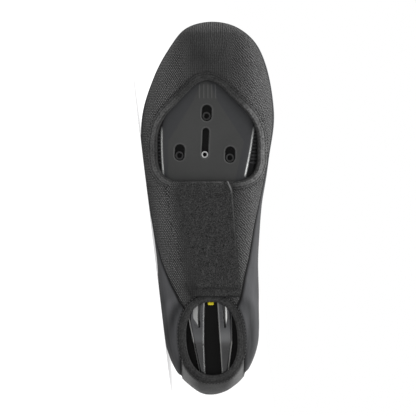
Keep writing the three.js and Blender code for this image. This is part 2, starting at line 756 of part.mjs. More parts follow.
// Lay the shoe down: the rest plane becomes the floor and the toe points to -X.
function layDown(group) {
  const up = rest.normal.clone().negate();
  const toe = new THREE.Vector3(0, 1, 0).projectOnPlane(up).normalize();
  const back = toe.clone().negate();
  const turn = new THREE.Matrix4().makeBasis(back, up.clone().cross(back), up).transpose();
  group.quaternion.setFromRotationMatrix(turn);
  group.updateMatrixWorld(true);
  const box = new THREE.Box3().setFromObject(group, true);
  const centre = box.getCenter(new THREE.Vector3());
  group.position.set(-centre.x, -centre.y, -box.min.z);
}

const overshoe = new THREE.Group();
for (const [name, [shape, finish]] of Object.entries(pieces)) {
  const { numProp, vertProperties, triVerts } = shape.getMesh();
  const geometry = new THREE.BufferGeometry();
  geometry.setAttribute("position", new THREE.BufferAttribute(vertProperties, numProp));
  geometry.setIndex(new THREE.BufferAttribute(triVerts, 1));
  const mesh = new THREE.Mesh(geometry, new THREE.MeshStandardMaterial(finishes[finish]));
  mesh.name = name;
  overshoe.add(mesh);
}
layDown(overshoe);

export default overshoe;
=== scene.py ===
import math
import bmesh
import bpy
import numpy as np
from mathutils import Matrix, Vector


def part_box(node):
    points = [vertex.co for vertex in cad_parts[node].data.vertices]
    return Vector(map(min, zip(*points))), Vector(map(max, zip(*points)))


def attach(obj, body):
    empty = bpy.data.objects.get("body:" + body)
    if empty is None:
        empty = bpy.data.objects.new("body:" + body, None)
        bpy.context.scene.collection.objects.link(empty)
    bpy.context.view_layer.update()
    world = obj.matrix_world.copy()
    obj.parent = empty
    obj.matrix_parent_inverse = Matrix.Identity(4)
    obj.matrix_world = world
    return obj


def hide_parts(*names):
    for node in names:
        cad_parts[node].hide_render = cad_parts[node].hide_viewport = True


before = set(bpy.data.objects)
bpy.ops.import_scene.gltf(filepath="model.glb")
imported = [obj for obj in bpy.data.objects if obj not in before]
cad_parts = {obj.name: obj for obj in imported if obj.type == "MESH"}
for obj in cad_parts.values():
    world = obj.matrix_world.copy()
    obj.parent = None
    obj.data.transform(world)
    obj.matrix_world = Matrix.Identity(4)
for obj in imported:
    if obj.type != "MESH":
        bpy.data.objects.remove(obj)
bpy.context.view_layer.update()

shoe = {
    "length": 280.0, "ballWidth": 99.0, "edgeHeight": 26.0, "toeSpring": 15.0, "archRise": 5.0,
    "toeRoll": 30.0, "heelRoll": 20.0, "flatShare": 0.6, "rollShare": 0.625,
    "collarHeight": 146.0, "collarLength": 92.0, "collarWidth": 68.0, "collarSetBack": 70.0,
    "wall": 2.0, "gap": 0.3, "soleThickness": 6.4,
}
# every 15 degrees from the toe tip to the heel, as shares of the sizes above
stations = {
    "lateral": [-0.045, 0.327, 0.568, 0.811, 0.992, 1.0, 0.883, 0.776, 0.735, 0.655, 0.49, 0.23, -0.02],
    "medial": [0.045, 0.455, 0.756, 0.915, 0.995, 0.92, 0.81, 0.76, 0.768, 0.753, 0.583, 0.34, 0.02],
    "spring": [1.0, 0.93, 0.64, 0.26, 0.04, 0, 0, 0, 0, 0, 0, 0, 0],
    "arch": [0, 0, 0, 0, 0, 0, 0.45, 1.0, 0.45, 0, 0, 0, 0],
    "edge": [1.04, 1.0, 0.93, 0.85, 0.78, 0.78, 0.9, 1.05, 1.08, 1.05, 1.05, 1.08, 1.08],
}
rings = {  # control rings of the upper: share moved over to the collar, pinch, height at toe and at heel
    "toward": [0, 0.46, 1, 1], "pinch": [1, 0.86, 0.96, 1],
    "front": [0.31, 0.33, 0.58, 0.955], "back": [0.42, 0.6, 0.78, 1],
}
seams = {  # underside panel against the upper, by angle in degrees
    "angle": [0, 76, 84, 90, 96, 100, 106, 111.5, 117, 122, 126],
    "lateral": [-0.1, -0.1, -0.1, -0.1, -0.1, -0.13, -0.23, -0.4, -0.557, -0.676, -0.707],
    "medial": [-0.1, -0.1, -0.15, -0.2, -0.27, -0.315, -0.39, -0.485, -0.56, -0.66, -0.645],
}
halfLength = shoe["length"] / 2
halfBall = shoe["ballWidth"] / 2
full = 2 * math.pi
perMetre = 1000


# Eases from 0 to 1: three times t squared less twice t cubed, level outside.
def smooth(t):
    t = np.clip(t, 0, 1)
    return t * t * (3 - 2 * t)


# Bell of a distance: e to the power of minus its square, in widths.
def bell(distance, width):
    return np.exp(-(distance / width) ** 2)


# Quadratic curve from a to c that b draws to itself.
def curve(a, b, c, t):
    return (1 - t) ** 2 * a + 2 * t * (1 - t) * b + t ** 2 * c


# Plan vector turned by an angle: its sine and cosine mix the two parts.
def turned(x, y, angle):
    c, s = math.cos(angle), math.sin(angle)
    return c * x - s * y, s * x + c * y


# Angle from the toe tip, counted the same way on both sides.
def fromToe(angle):
    return np.where(angle <= math.pi, angle, full - angle)


# Smooth closed curve through evenly spaced values: a cubic between each two, its slope from the next two.
def aroundTable(values, angle):
    values = np.asarray(values, float)
    place = np.mod(angle / full * len(values), len(values))
    low = np.floor(place).astype(int)
    f = place - low
    a, b, c, d = (values[(low + k) % len(values)] for k in (-1, 0, 1, 2))
    return b + 0.5 * f * (c - a + f * (2 * a - 5 * b + 4 * c - d + f * (3 * b - a - 3 * c + d)))


# Values of one side, followed by the same ones on the way back
def mirrored(values):
    return list(values) + list(values[-2:0:-1])


sideReach = [v * halfBall for v in stations["lateral"]] + [-v * halfBall for v in stations["medial"][-2:0:-1]]
soleHeights = mirrored([a * shoe["toeSpring"] + b * shoe["archRise"]
                        for a, b in zip(stations["spring"], stations["arch"])])
edgeHeights = mirrored([v * shoe["edgeHeight"] for v in stations["edge"]])


# Quarter ellipse that closes an end: height 1 at the roll's length, 0 at the tip.
def endRoll(distance, roll):
    return np.sqrt(np.clip(1 - np.clip(1 - distance / roll, 0, 1) ** 2, 0, 1))


# One cross section: its place along the shoe, middle, half width, height of the widest line and depth below.
def section(angle):
    y = halfLength * np.cos(angle)
    right, left = aroundTable(sideReach, angle), aroundTable(sideReach, full - angle)
    edge = aroundTable(edgeHeights, angle)
    depth = edge - aroundTable(soleHeights, angle)
    depth = depth * endRoll(halfLength - y, shoe["toeRoll"]) * endRoll(halfLength + y, shoe["heelRoll"])
    return y, (right + left) / 2, (right - left) / 2, edge, depth


# Underside as a height over the plan: flat in the middle, a quarter ellipse up to the widest line.
def underside(x, y):
    _, middle, half, edge, depth = section(np.arccos(np.clip(y / halfLength, -1, 1)))
    out = np.abs(x - middle) / half
    rolled = np.clip((out - shoe["flatShare"]) / (1 - shoe["flatShare"]), 0, 1)
    return edge - depth * np.sqrt(1 - rolled ** 2)


# Slopes of the underside across and along the shoe, from small steps to both sides.
def slopes(x, y, step=0.05):
    across = (underside(x + step, y) - underside(x - step, y)) / (2 * step)
    along = (underside(x, y + step) - underside(x, y - step)) / (2 * step)
    return across, along


# Point on the underside moved out along its normal.
def onUnderside(x, y, offset):
    across, along = slopes(x, y)
    steep = np.sqrt(1 + across ** 2 + along ** 2)
    return np.stack([x + offset * across / steep, y + offset * along / steep,
                     underside(x, y) - offset / steep], -1)


# The same point, and the normal there from two heights 1 mm apart.
def raised(x, y, rise):
    points = onUnderside(x, y, rise)
    return points, points - onUnderside(x, y, rise - 1)


# Outer skin: v from -1 at the middle of the sole to 0 at the widest line is the underside, and from 0 to
# 1 at the collar a quartic Bezier over rings that move over to the collar's ellipse.
def skin(angle, v):
    angle, v = np.broadcast_arrays(np.mod(angle, full), v)
    side = np.where(angle <= math.pi, 1.0, -1.0)
    y, middle, half, edge, depth = section(fromToe(angle))
    low = np.minimum(v, 0)
    roll = np.clip(1 + low / shoe["rollShare"], 0, 1) * math.pi / 2
    flat = shoe["flatShare"]
    out = np.where(low < -shoe["rollShare"], flat * (1 + low) / (1 - shoe["rollShare"]),
                   flat + (1 - flat) * np.sin(roll))
    under = np.stack([middle + side * out * half, y, edge - depth * np.cos(roll)], -1)
    high = np.maximum(v, 0)[..., None]
    start = np.stack([middle + side * half, y, edge], -1)
    collar = np.stack([shoe["collarWidth"] / 2 * np.sin(angle),
                       shoe["collarLength"] / 2 * np.cos(angle) - shoe["collarSetBack"], 0 * y], -1)
    front = (1 + np.cos(angle)) / 2
    points = [start]
    for toward, pinch, atToe, atHeel in zip(*(rings[k] for k in ("toward", "pinch", "front", "back"))):
        point = start + (collar - start) * toward
        point[..., 0] *= pinch
        point[..., 2] = (atHeel + (atToe - atHeel) * front) * shoe["collarHeight"]
        points.append(point)
    weights = [k * high ** i * (1 - high) ** (4 - i) for i, k in enumerate((1, 4, 6, 4, 1))]
    upper = sum(weight * point for weight, point in zip(weights, points))
    return np.where(v[..., None] <= 0, under, upper)


# Outward normal of the skin, from small steps along the outline and up the side.
def skinNormal(angle, v):
    step = 1e-3
    along = skin(angle + step, v) - skin(angle - step, v)
    up = skin(angle, np.minimum(v + step, 1)) - skin(angle, np.maximum(v - step, -1))
    normal = np.cross(up, along)
    length = np.linalg.norm(normal, axis=-1, keepdims=True)
    return normal / np.maximum(length, 1e-12)


# Sizes of the sole's cleat pattern, its grommet and nuts
cleat = {
    "middle": (0.048 * halfBall, 0.292 * halfLength), "turn": 0.045, "spread": 37.8, "reach": 30.4,
    "slotWidth": 7.4, "slotLength": 12.0, "slotDepth": 4.2,
    "centreWidth": 4.9, "centreLength": 22.4, "centreAhead": 7.9,
}
nut = {"outer": 3.1, "bore": 1.75, "height": 2.6, "setBack": 2.4}
grommet = {"outer": 2.2, "bore": 1.45, "height": 3.4, "lip": 0.3}


# Place in the cleat pattern: across and ahead, turned about the middle of the rear holes.
def inPattern(across, ahead):
    dx, dy = turned(across, ahead, cleat["turn"])
    return cleat["middle"][0] + dx, cleat["middle"][1] + dy


cleatHoles = {
    "front": inPattern(0, cleat["reach"]),
    "lateral": inPattern(cleat["spread"] / 2, 0),
    "medial": inPattern(-cleat["spread"] / 2, 0),
}
centreSlotMiddle = inPattern(0, cleat["centreAhead"])
soleFace = shoe["wall"] + shoe["gap"]  # depth of the sole's face inside the cover's outer skin


# Height of a slot's floor: the underside at its middle, the sole's depth and the slot's.
def slotFloor(place):
    return float(underside(np.float64(place[0]), np.float64(place[1]))) + soleFace + cleat["slotDepth"]


# Middle of a nut: set back from its slot's middle, its foot a gap above the floor.
def nutPlace(hole):
    dx, dy = turned(0, -nut["setBack"], cleat["turn"])
    x, y = cleatHoles[hole]
    return x + dx, y + dy, slotFloor(cleatHoles[hole]) - shoe["gap"] - nut["height"] / 2


grommetXY = inPattern(0, cleat["centreAhead"] - (cleat["centreLength"] - cleat["centreWidth"]) / 2)
grommetPlace = (*grommetXY, slotFloor(centreSlotMiddle) - shoe["gap"] - grommet["height"] / 2)
heelHole = {
    "x": -0.058, "y": -0.697, "halfWidth": 0.385, "halfLength": 0.196, "lean": 0.06, "power": 2.3,
    "wellMargin": 4.0, "wellDepth": 3.6,
}
pads = {
    "y": [-0.475, -0.593, -0.721, -0.9],  # places along the shoe, then outer and inner edge of each pad
    "lateral": ([0.289, 0.301, 0.228, 0.125], [0.046, 0.05, 0.052, 0.03]),
    "medial": ([-0.36, -0.368, -0.372, -0.31], [-0.131, -0.15, -0.174, -0.206]),
    "inset": 0.1, "chamferOut": (1.5, 2.2), "chamferIn": (1.0, 1.6),  # depth and width
    "breakY": -101.5, "breakStep": 0.5,
    "slotWidth": 1.3, "slotLength": 23.0, "slotDepth": 2.2, "slotShare": {"lateral": 0.64, "medial": 0.54},
    "facetWidth": {"lateral": 3.8, "medial": 1.5}, "facetStart": 0.7, "facetDepth": 0.5,
    "facetLight": {"lateral": 0.3, "medial": 1.0}, "sheen": {"lateral": 0.02, "medial": 0.07},
    "innerLight": {"lateral": 0.16, "medial": 0.4},
}
padInnerFront = ((pads["lateral"][1][0] + pads["medial"][1][0]) / 2 * halfBall,
                 (heelHole["y"] + heelHole["halfLength"]) * halfLength)
wellFloor = soleFace + heelHole["wellDepth"]
inlay = {"width": 4.6, "length": 2.6, "height": 1.2, "trim": (0.95, 0.82), "squareness": 0.3}
inlayPlace = (padInnerFront[0], padInnerFront[1] - inlay["length"] / 2,
              wellFloor - shoe["gap"] - inlay["height"] / 2)


# Turn and shift that lay the shoe down: the least-squares fit of known points to the frame's own boxes.
def fitPose():
    known = {"centre_grommet": grommetPlace, "groove_inlay": inlayPlace}
    known.update({"cleat_nut_" + hole: nutPlace(hole) for hole in cleatHoles})
    here = np.array(list(known.values()))
    there = np.array([(np.array(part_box(n)[0]) + np.array(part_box(n)[1])) / 2 for n in known]) * perMetre
    a, b = here - here.mean(0), there - there.mean(0)
    u, _, vt = np.linalg.svd(a.T @ b)
    flip = np.diag([1, 1, np.sign(np.linalg.det(u @ vt))])
    turn = u @ flip @ vt
    return turn, there.mean(0) - here.mean(0) @ turn


poseTurn, poseShift = fitPose()


def toWorld(points):
    return points @ poseTurn + poseShift


easeHeight = 0.4


# Cloth can't reach below the floor that it lies on: under easeHeight the height falls off as a power of e, so
# that it never gets to 0.
def lieDown(points):
    world = toWorld(points)
    height = world[..., 2]
    eased = easeHeight / 2 * np.exp(np.clip(height / easeHeight - 1, -30, 0))
    world[..., 2] = np.where(height < easeHeight, eased, height)
    return world


# New object in the scene from its data
def addObject(name, data):
    item = bpy.data.objects.new(name, data)
    bpy.context.scene.collection.objects.link(item)
    return item


# Matrix that puts an object's three axes and its place in columns
def axesMatrix(right, up, back, place):
    return Matrix([[right[i], up[i], back[i], place[i]] for i in range(3)] + [[0, 0, 0, 1]])


# Camera first: square to the sole, toe up, as far off as gives the photo's scale through a long lens.
photo = {"pixels": 416, "mmPerPixel": 0.7475, "centre": (208.0, 208.1), "lens": 500.0, "sensor": 36.0}


def makeCamera():
    data = bpy.data.cameras.new("camera")
    data.lens, data.sensor_width, data.clip_end = photo["lens"], photo["sensor"], 20
    camera = addObject("camera", data)
    distance = photo["pixels"] * photo["mmPerPixel"] * photo["lens"] / photo["sensor"]
    offX, offY = (photo["mmPerPixel"] * (centre - photo["pixels"] / 2) for centre in photo["centre"])
    place = toWorld(np.array([offX, offY, -distance])) / perMetre
    right, up, back = (np.array(axis, float) @ poseTurn for axis in ((-1, 0, 0), (0, 1, 0), (0, 0, -1)))
    camera.matrix_world = axesMatrix(right, up, back, place)
    bpy.context.scene.camera = camera


makeCamera()
print("camera set")


# Wraps a socket, so that sums and products of sockets add Math nodes.
class Wire:
    def __init__(self, paint, socket):
        self.paint = paint
        self.socket = socket

    def calc(self, operation, *others, swap=False):
        values = (*others, self) if swap else (self, *others)
        return self.paint.node("ShaderNodeMath", {"operation": operation}, dict(enumerate(values)))

    def __add__(self, other):
        return self.calc("ADD", other)

    __radd__ = __add__

    def __sub__(self, other):
        return self.calc("SUBTRACT", other)

    def __rsub__(self, other):
        return self.calc("SUBTRACT", other, swap=True)

    def __mul__(self, other):
        return self.calc("MULTIPLY", other)

    def __pow__(self, other):
        return self.calc("POWER", other)

    def sin(self):
        return self.calc("SINE")

    def abs(self):
        return self.calc("ABSOLUTE")

    def floor(self):
        return self.calc("FLOOR")

    def clamped(self):
        return self.paint.node("ShaderNodeClamp", {}, {"Value": self})

    # One sine wave to each unit, between 0 and 1
    def wave(self):
        return (self * full).sin() * 0.5 + 0.5


# One material: constants go straight to the shader, and node() adds any node.
class Paint:
    def __init__(self, name, **constants):
        self.material = bpy.data.materials.new(name)
        self.material.use_nodes = True
        self.tree = self.material.node_tree
        self.shader = self.tree.nodes["Principled BSDF"]
        for socket, value in constants.items():
            self.shader.inputs[socket.replace("_", " ")].default_value = value

    def node(self, kind, settings=None, inputs=None, out=0):
        node = self.tree.nodes.new(kind)
        for key, value in (settings or {}).items():
            setattr(node, key, value)
        for key, value in (inputs or {}).items():
            if isinstance(value, Wire):
                self.tree.links.new(value.socket, node.inputs[key])
            else:
                node.inputs[key].default_value = value
        return Wire(self, node.outputs[out])

    def set(self, socket, wire):
        self.tree.links.new(wire.socket, self.shader.inputs[socket])

    def noise(self, scale, detail=2.0, rough=0.5, vector=None):
        inputs = {"Scale": scale, "Detail": detail, "Roughness": rough}
        inputs["Vector"] = vector or self.node("ShaderNodeTexCoord", out=3)
        return self.node("ShaderNodeTexNoise", {}, inputs)

    def stretched(self, scale):
        where = self.node("ShaderNodeTexCoord", out=3)
        return self.node("ShaderNodeMapping", {}, {"Vector": where, "Scale": scale})

    def uv(self, name):
        both = self.node("ShaderNodeUVMap", {"uv_map": name})
        return (self.node("ShaderNodeSeparateXYZ", {}, {0: both}, out=axis) for axis in (0, 1))

    def value(self, name):
        return self.node("ShaderNodeAttribute", {"attribute_name": name}, out=2)

    def mix(self, factor, first, second):
        return self.node("ShaderNodeMix", {"data_type": "RGBA"}, {0: factor, 6: first, 7: second}, out=2)

    # Base colour of cloth, with painted shade in the seam grooves and along the edges of the tapes and the
    # flap
    def cloth(self, face):
        self.set("Base Color", self.mix(self.value("seam_shade"), face, grey(seamShadeGrey)))

    def bump(self, height, strength, distance):
        inputs = {"Strength": strength, "Distance": distance, "Height": height}
        self.set("Normal", self.node("ShaderNodeBump", {}, inputs))


def grey(value):
    return (value, value, value, 1)


# near black of the painted shade in seams and along edges
seamShadeGrey = 0.003
weave = {  # pitches, lengths and the widths of the middle and its fade in mm
    "pitchU": 1.5, "pitchV": 1.25, "tilt": -0.28, "straight": 10.0, "onset": 22.0, "relief": 0.0004,
    "tipLength": 15.0, "dark": 0.009, "light": 0.2, "middle": 12.0, "fade": 22.0,
}
twill = {"pitch": 1.25, "slant": 0.8, "crossPitch": 0.9, "crossSlant": 0.3, "dark": 0.01, "light": 0.14}
binding = {"pitch": 1.3, "rowPitch": 1.7, "dark": 0.008, "light": 0.036, "litDark": 0.03, "litLight": 0.19}
pile = {"fine": 1700, "coarse": 650, "dark": 0.006, "light": 0.045, "lit": 0.22}


# Dashes of the knit in offset rows, on arc-length UVs: a sine along each row times a sine across the rows.
# Rows slant more and more on the inner side, go over to a fine grid in the middle and to short ribs at the
# toe tip, and the dashes grow lighter at the tip and, as painted sheen, away from the middle of the sole.
def weaveParts(paint):
    u, v = paint.uv("cloth")
    wobble = paint.noise(70, 2) - 0.5
    fray = paint.noise(420, 2) - 0.5
    inward = (u + weave["straight"]).calc("MINIMUM", 0.0)
    slant = inward * (inward * (-1 / weave["onset"])).clamped() * weave["tilt"]
    row = (v + slant) * (1 / weave["pitchV"]) + wobble * 1.1 + fray * 1.0
    column = u * (1 / weave["pitchU"]) + wobble * 1.6 + fray * 1.3
    dash = (column + row.floor() * 0.5).wave()
    across = (row * math.pi).sin().abs()
    grain = paint.noise(2100, 2)
    tip = (1 - v * (1 / weave["tipLength"])).clamped()
    side = ((u.abs() - weave["middle"]) * (1 / weave["fade"])).clamped()
    ribs = column.wave()
    plain = ((1 - side * 2.5).clamped() + tip).clamped()
    grid = ribs * (0.22 + grain * 0.5 + tip * 0.15) + across * (1 - tip) * 0.36
    height = dash * across * (1 - plain) + grid * plain
    height = (height * 0.85 + grain * 0.55 - 0.15).clamped()
    patch = paint.noise(34, 3)
    # side adds painted sheen toward the sides, tip a lighter toe tip
    tone = height ** 1.5 * (0.17 + side * 0.64 + tip * 0.95 + (patch - 0.5) * 0.45)
    return paint.mix(tone.clamped(), grey(weave["dark"]), grey(weave["light"])), height


def weaveMaterial():
    paint = Paint("woven_fabric", Roughness=0.9, Specular_IOR_Level=0.12)
    colour, height = weaveParts(paint)
    paint.cloth(colour)
    paint.set("Roughness", 0.95 - height * 0.2)
    paint.bump(height, 0.7, weave["relief"])
    return paint.material


# Smooth coated knit: long faint streaks, a very fine grain and the painted light and shade of its tone value.
def coatedMaterial():
    paint = Paint("coated_fabric", Specular_IOR_Level=0.12)
    streaks = paint.noise(42, 5, 0.62, paint.stretched((0.3, 1.5, 1.5)))
    grain = paint.noise(2400, 2)
    lit = (paint.value("tone") - 0.5) * 1.1
    tone = ((streaks - 0.5) * 1.1 + 0.42 + (grain - 0.5) * 0.4 + lit).clamped()
    paint.cloth(paint.mix(tone, (0.012, 0.0123, 0.0132, 1), (0.086, 0.0865, 0.091, 1)))
    paint.set("Roughness", 0.55 + streaks * 0.15 + paint.value("seam_shade") * 0.2)
    paint.bump(grain * 0.2 + streaks, 0.3, 0.0007)
    return paint.material


# Heel patch: the same coated knit with a fine diagonal twill, two sine waves that cross, and the painted
# light and shade of its tone value.
def twillMaterial():
    paint = Paint("heel_twill", Specular_IOR_Level=0.12)
    u, v = paint.uv("cloth")
    wobble = paint.noise(160, 2) * 0.8
    along = ((u + v * twill["slant"]) * (1 / twill["pitch"]) + wobble).wave()
    across = ((v - u * twill["crossSlant"]) * (1 / twill["crossPitch"])).wave()
    grain = paint.noise(2400, 2)
    streaks = paint.noise(50, 4, 0.6)
    lit = (paint.value("tone") - 0.5) * 1.2
    tone = (along * (0.25 + across * 0.25) + grain * 0.2 + (streaks - 0.5) * 0.5 + lit - 0.06).clamped()
    paint.cloth(paint.mix(tone, grey(twill["dark"]), grey(twill["light"])))
    paint.set("Roughness", 0.75 - along * 0.15)
    paint.bump(along * 0.6 + grain * 0.4, 0.5, 0.0003)
    return paint.material


# Matt binding tape: two sine waves, one slanted and one along it, under a coarse fuzz, and mixed to lighter
# greys as a painted highlight where its lit value is high.
def tapeMaterial():
    paint = Paint("edge_tape", Roughness=0.9, Specular_IOR_Level=0.15)
    u, v = paint.uv("cloth")
    broad = paint.noise(60, 2)
    slanted = ((u + v) * (1 / binding["pitch"]) + broad).wave()
    rows = (v * (1 / binding["rowPitch"]) + broad * 0.6).wave()
    fuzz = paint.noise(900, 4, 0.6)
    tone = (slanted * 0.2 + rows * 0.2 + (fuzz - 0.5) * 2.4 + broad * 0.5).clamped()
    plain = paint.mix(tone, grey(binding["dark"]), grey(binding["light"]))
    lit = paint.mix(tone, grey(binding["litDark"]), grey(binding["litLight"]))
    paint.cloth(paint.mix(paint.value("lit"), plain, lit))
    paint.bump(slanted * 0.4 + fuzz, 0.45, 0.0003)
    return paint.material


# Brushed loop pile: mottled tufts of two sizes, going over to the knit beneath where the pile runs out, with
# painted highlights where its lit value is high.
def loopMaterial():
    paint = Paint("loop_fabric", Roughness=0.95, Specular_IOR_Level=0.1)
    tufts = paint.noise(pile["fine"], 3, 0.6)
    clumps = paint.noise(pile["coarse"], 3, 0.6)
    tone = ((tufts - 0.5) * 4.4 + (clumps - 0.5) * 0.9 + 0.44).clamped()
    face = paint.mix(tone, grey(pile["dark"]), grey(pile["light"]))
    face = paint.mix(paint.value("blend"), face, weaveParts(paint)[0])
    paint.cloth(paint.mix(paint.value("lit"), face, grey(pile["lit"])))
    paint.bump(tufts + clumps * 0.5, 0.8, 0.0008)
    return paint.material


# Satin moulded sole: painted highlights on its edges, rims and marks, near-black painted shade in its gaps,
# slots and well, whose floor is also black, a warm middle and cooler facets.
def soleMaterial():
    paint = Paint("sole_plastic", Roughness=0.5, Specular_IOR_Level=0.07)
    cloud = paint.noise(22, 3)
    speck = paint.noise(900, 2)
    mottle = (cloud + (speck - 0.5) * 0.3).clamped()
    middle = paint.mix(mottle, (0.025, 0.0253, 0.025, 1), (0.039, 0.0393, 0.039, 1))
    facet = paint.mix(mottle, (0.021, 0.0216, 0.0228, 1), (0.034, 0.0346, 0.0364, 1))
    face = paint.mix(paint.value("facet"), middle, facet)
    face = paint.mix(paint.value("dark"), face, grey(0.0015))
    paint.set("Base Color", paint.mix(paint.value("bright"), face, (0.8, 0.81, 0.8, 1)))
    paint.set("Roughness", 0.5 + speck * 0.08)
    paint.bump(speck, 0.12, 0.0002)
    return paint.material


# Glossy moulded heel pads: painted highlights on their edges, slanted facets and middle, and near-black
# painted shade in their slots, behind the break and at their foot.
def padMaterial():
    paint = Paint("pad_plastic", Roughness=0.2, Specular_IOR_Level=0.4, Coat_Weight=0.25, Coat_Roughness=0.1)
    cloud = paint.noise(75, 3)
    tone = ((cloud - 0.5) * 2.0 + 0.5).clamped()
    face = paint.mix(tone, (0.008, 0.0085, 0.010, 1), (0.03, 0.031, 0.034, 1))
    face = paint.mix(paint.value("dark"), face, grey(0.001))
    paint.set("Base Color", paint.mix(paint.value("bright"), face, (0.55, 0.55, 0.54, 1)))
    paint.set("Roughness", 0.22 + cloud * 0.12)
    paint.bump(paint.noise(1100, 2), 0.05, 0.0002)
    return paint.material


def steelMaterial(name, low, high, rough):
    paint = Paint(name, Metallic=1.0, Roughness=rough)
    scratch = paint.noise(700, 3)
    paint.set("Base Color", paint.mix(scratch, grey(low), grey(high)))
    paint.set("Roughness", rough + scratch * 0.12)
    paint.bump(scratch, 0.08, 0.0001)
    return paint.material


def yellowMaterial():
    paint = Paint("yellow_plastic", Roughness=0.5, Specular_IOR_Level=0.3)
    cloud = paint.noise(400, 2)
    paint.set("Base Color", paint.mix(cloud, (0.38, 0.31, 0.0, 1), (0.62, 0.53, 0.005, 1)))
    paint.bump(cloud, 0.1, 0.0002)
    return paint.material


# Grey sewing thread, with a twist along it.
def threadMaterial(name, low, high):
    paint = Paint(name, Roughness=0.7, Specular_IOR_Level=0.2)
    twist = paint.noise(3000, 1)
    paint.set("Base Color", paint.mix(twist, grey(low), grey(high)))
    paint.bump(twist, 0.3, 0.0001)
    return paint.material


looks = {
    "woven_fabric": weaveMaterial(), "coated_fabric": coatedMaterial(), "edge_tape": tapeMaterial(),
    "loop_fabric": loopMaterial(), "sole_plastic": soleMaterial(), "pad_plastic": padMaterial(),
    "bright_steel": steelMaterial("bright_steel", 0.25, 0.45, 0.3),
    "dark_steel": steelMaterial("dark_steel", 0.02, 0.05, 0.35), "heel_twill": twillMaterial(),
    "yellow_plastic": yellowMaterial(), "thread": threadMaterial("thread", 0.03, 0.11),
    "dark_thread": threadMaterial("dark_thread", 0.006, 0.03),
}
print("materials made")


# Mesh piece from vertices in metres, corner lists and values at the vertices. Points nearer than merge, in
# metres, become one.
def makePiece(name, vertices, loops, sizes, slot, look=None, uv=None, values=None, merge=2e-6, sharp=None):
    mesh = bpy.data.meshes.new(name)
    mesh.vertices.add(len(vertices))
    mesh.vertices.foreach_set("co", np.ascontiguousarray(vertices, np.float32).ravel())
    mesh.loops.add(len(loops))
    mesh.loops.foreach_set("vertex_index", np.ascontiguousarray(loops, np.int32))
    starts = np.concatenate([[0], np.cumsum(sizes)[:-1]]).astype(np.int32)
    mesh.polygons.add(len(sizes))
    mesh.polygons.foreach_set("loop_start", starts)
    mesh.polygons.foreach_set("loop_total", np.ascontiguousarray(sizes, np.int32))
    if uv is not None:
        layer = mesh.uv_layers.new(name="cloth")
        layer.uv.foreach_set("vector", np.ascontiguousarray(uv[loops], np.float32).ravel())
    for key, array in (values or {}).items():
        layer = mesh.attributes.new(key, "FLOAT", "POINT")
        layer.data.foreach_set("value", np.ascontiguousarray(array, np.float32))
    mesh.update(calc_edges=True)
    mesh.validate()
    work = bmesh.new()
    work.from_mesh(mesh)
    bmesh.ops.remove_doubles(work, verts=work.verts, dist=merge)
    bmesh.ops.dissolve_degenerate(work, edges=work.edges, dist=merge)
    loose = [v for v in work.verts if not v.link_faces]
    bmesh.ops.delete(work, geom=loose, context="VERTS")
    work.to_mesh(mesh)
    work.free()
    mesh.shade_smooth()
    if sharp:
        mesh.set_sharp_from_angle(angle=math.radians(sharp))
    piece = addObject(name, mesh)
    mesh.materials.append(looks[look or slot])
    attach(piece, "root")
    return piece


# The same from points in any array and a list of quads
def quadPiece(name, points, quads, slot, **more):
    return makePiece(name, points.reshape(-1, 3), quads.ravel(), np.full(len(quads), 4), slot, **more)


# Corner lists of a grid of quads, closed round either way if asked.
def gridLoops(rows, columns, closeRows=False, closeColumns=False, flip=False, first=0):
    i = np.arange(rows if closeRows else rows - 1)[:, None]
    j = np.arange(columns if closeColumns else columns - 1)[None, :]
    a, b = (i % rows) * columns, ((i + 1) % rows) * columns
    c, d = j % columns, (j + 1) % columns
    quads = np.stack([a + c, b + c, b + d, a + d], -1).reshape(-1, 4) + first
    return quads[:, ::-1] if flip else quads


# The part of a grid where a field is positive. Cells that the field's zero line crosses are cut along it,
# with the crossing points found by straight interpolation of every channel.
def cutGrid(channels, field, flip=False):
    rows, columns, width = channels.shape
    number = np.arange(rows * columns).reshape(rows, columns)
    inside = field >= 0
    made = [channels.reshape(-1, width)]
    nextNumber = rows * columns

    def crossings(a, b):
        nonlocal nextNumber
        fa, fb = field[a], field[b]
        crossed = (fa >= 0) != (fb >= 0)
        share = np.where(crossed, fa / np.where(crossed, fa - fb, 1), 0)[..., None]
        found = np.full(crossed.shape, -1)
        found[crossed] = nextNumber + np.arange(crossed.sum())
        nextNumber += int(crossed.sum())
        made.append((channels[a] * (1 - share) + channels[b] * share)[crossed])
        return found

    down = crossings(np.s_[:-1, :], np.s_[1:, :])
    right = crossings(np.s_[:, :-1], np.s_[:, 1:])
    corner = np.where(inside, number, -1)
    slots = np.stack([corner[:-1, :-1], down[:, :-1], corner[1:, :-1], right[1:, :],
                      corner[1:, 1:], down[:, 1:], corner[:-1, 1:], right[:-1, :]], -1).reshape(-1, 8)
    slots = slots[(slots >= 0).sum(1) >= 3]
    if flip:
        slots = slots[:, ::-1]
    kept = slots >= 0
    return np.concatenate(made), slots[kept], kept.sum(1)


# Several cut grids as one, with their numbers shifted.
def joined(parts):
    shift, vertices, loops, sizes = 0, [], [], []
    for points, corners, counts in parts:
        vertices.append(points)
        loops.append(corners + shift)
        sizes.append(counts)
        shift += len(points)
    return np.concatenate(vertices), np.concatenate(loops), np.concatenate(sizes)


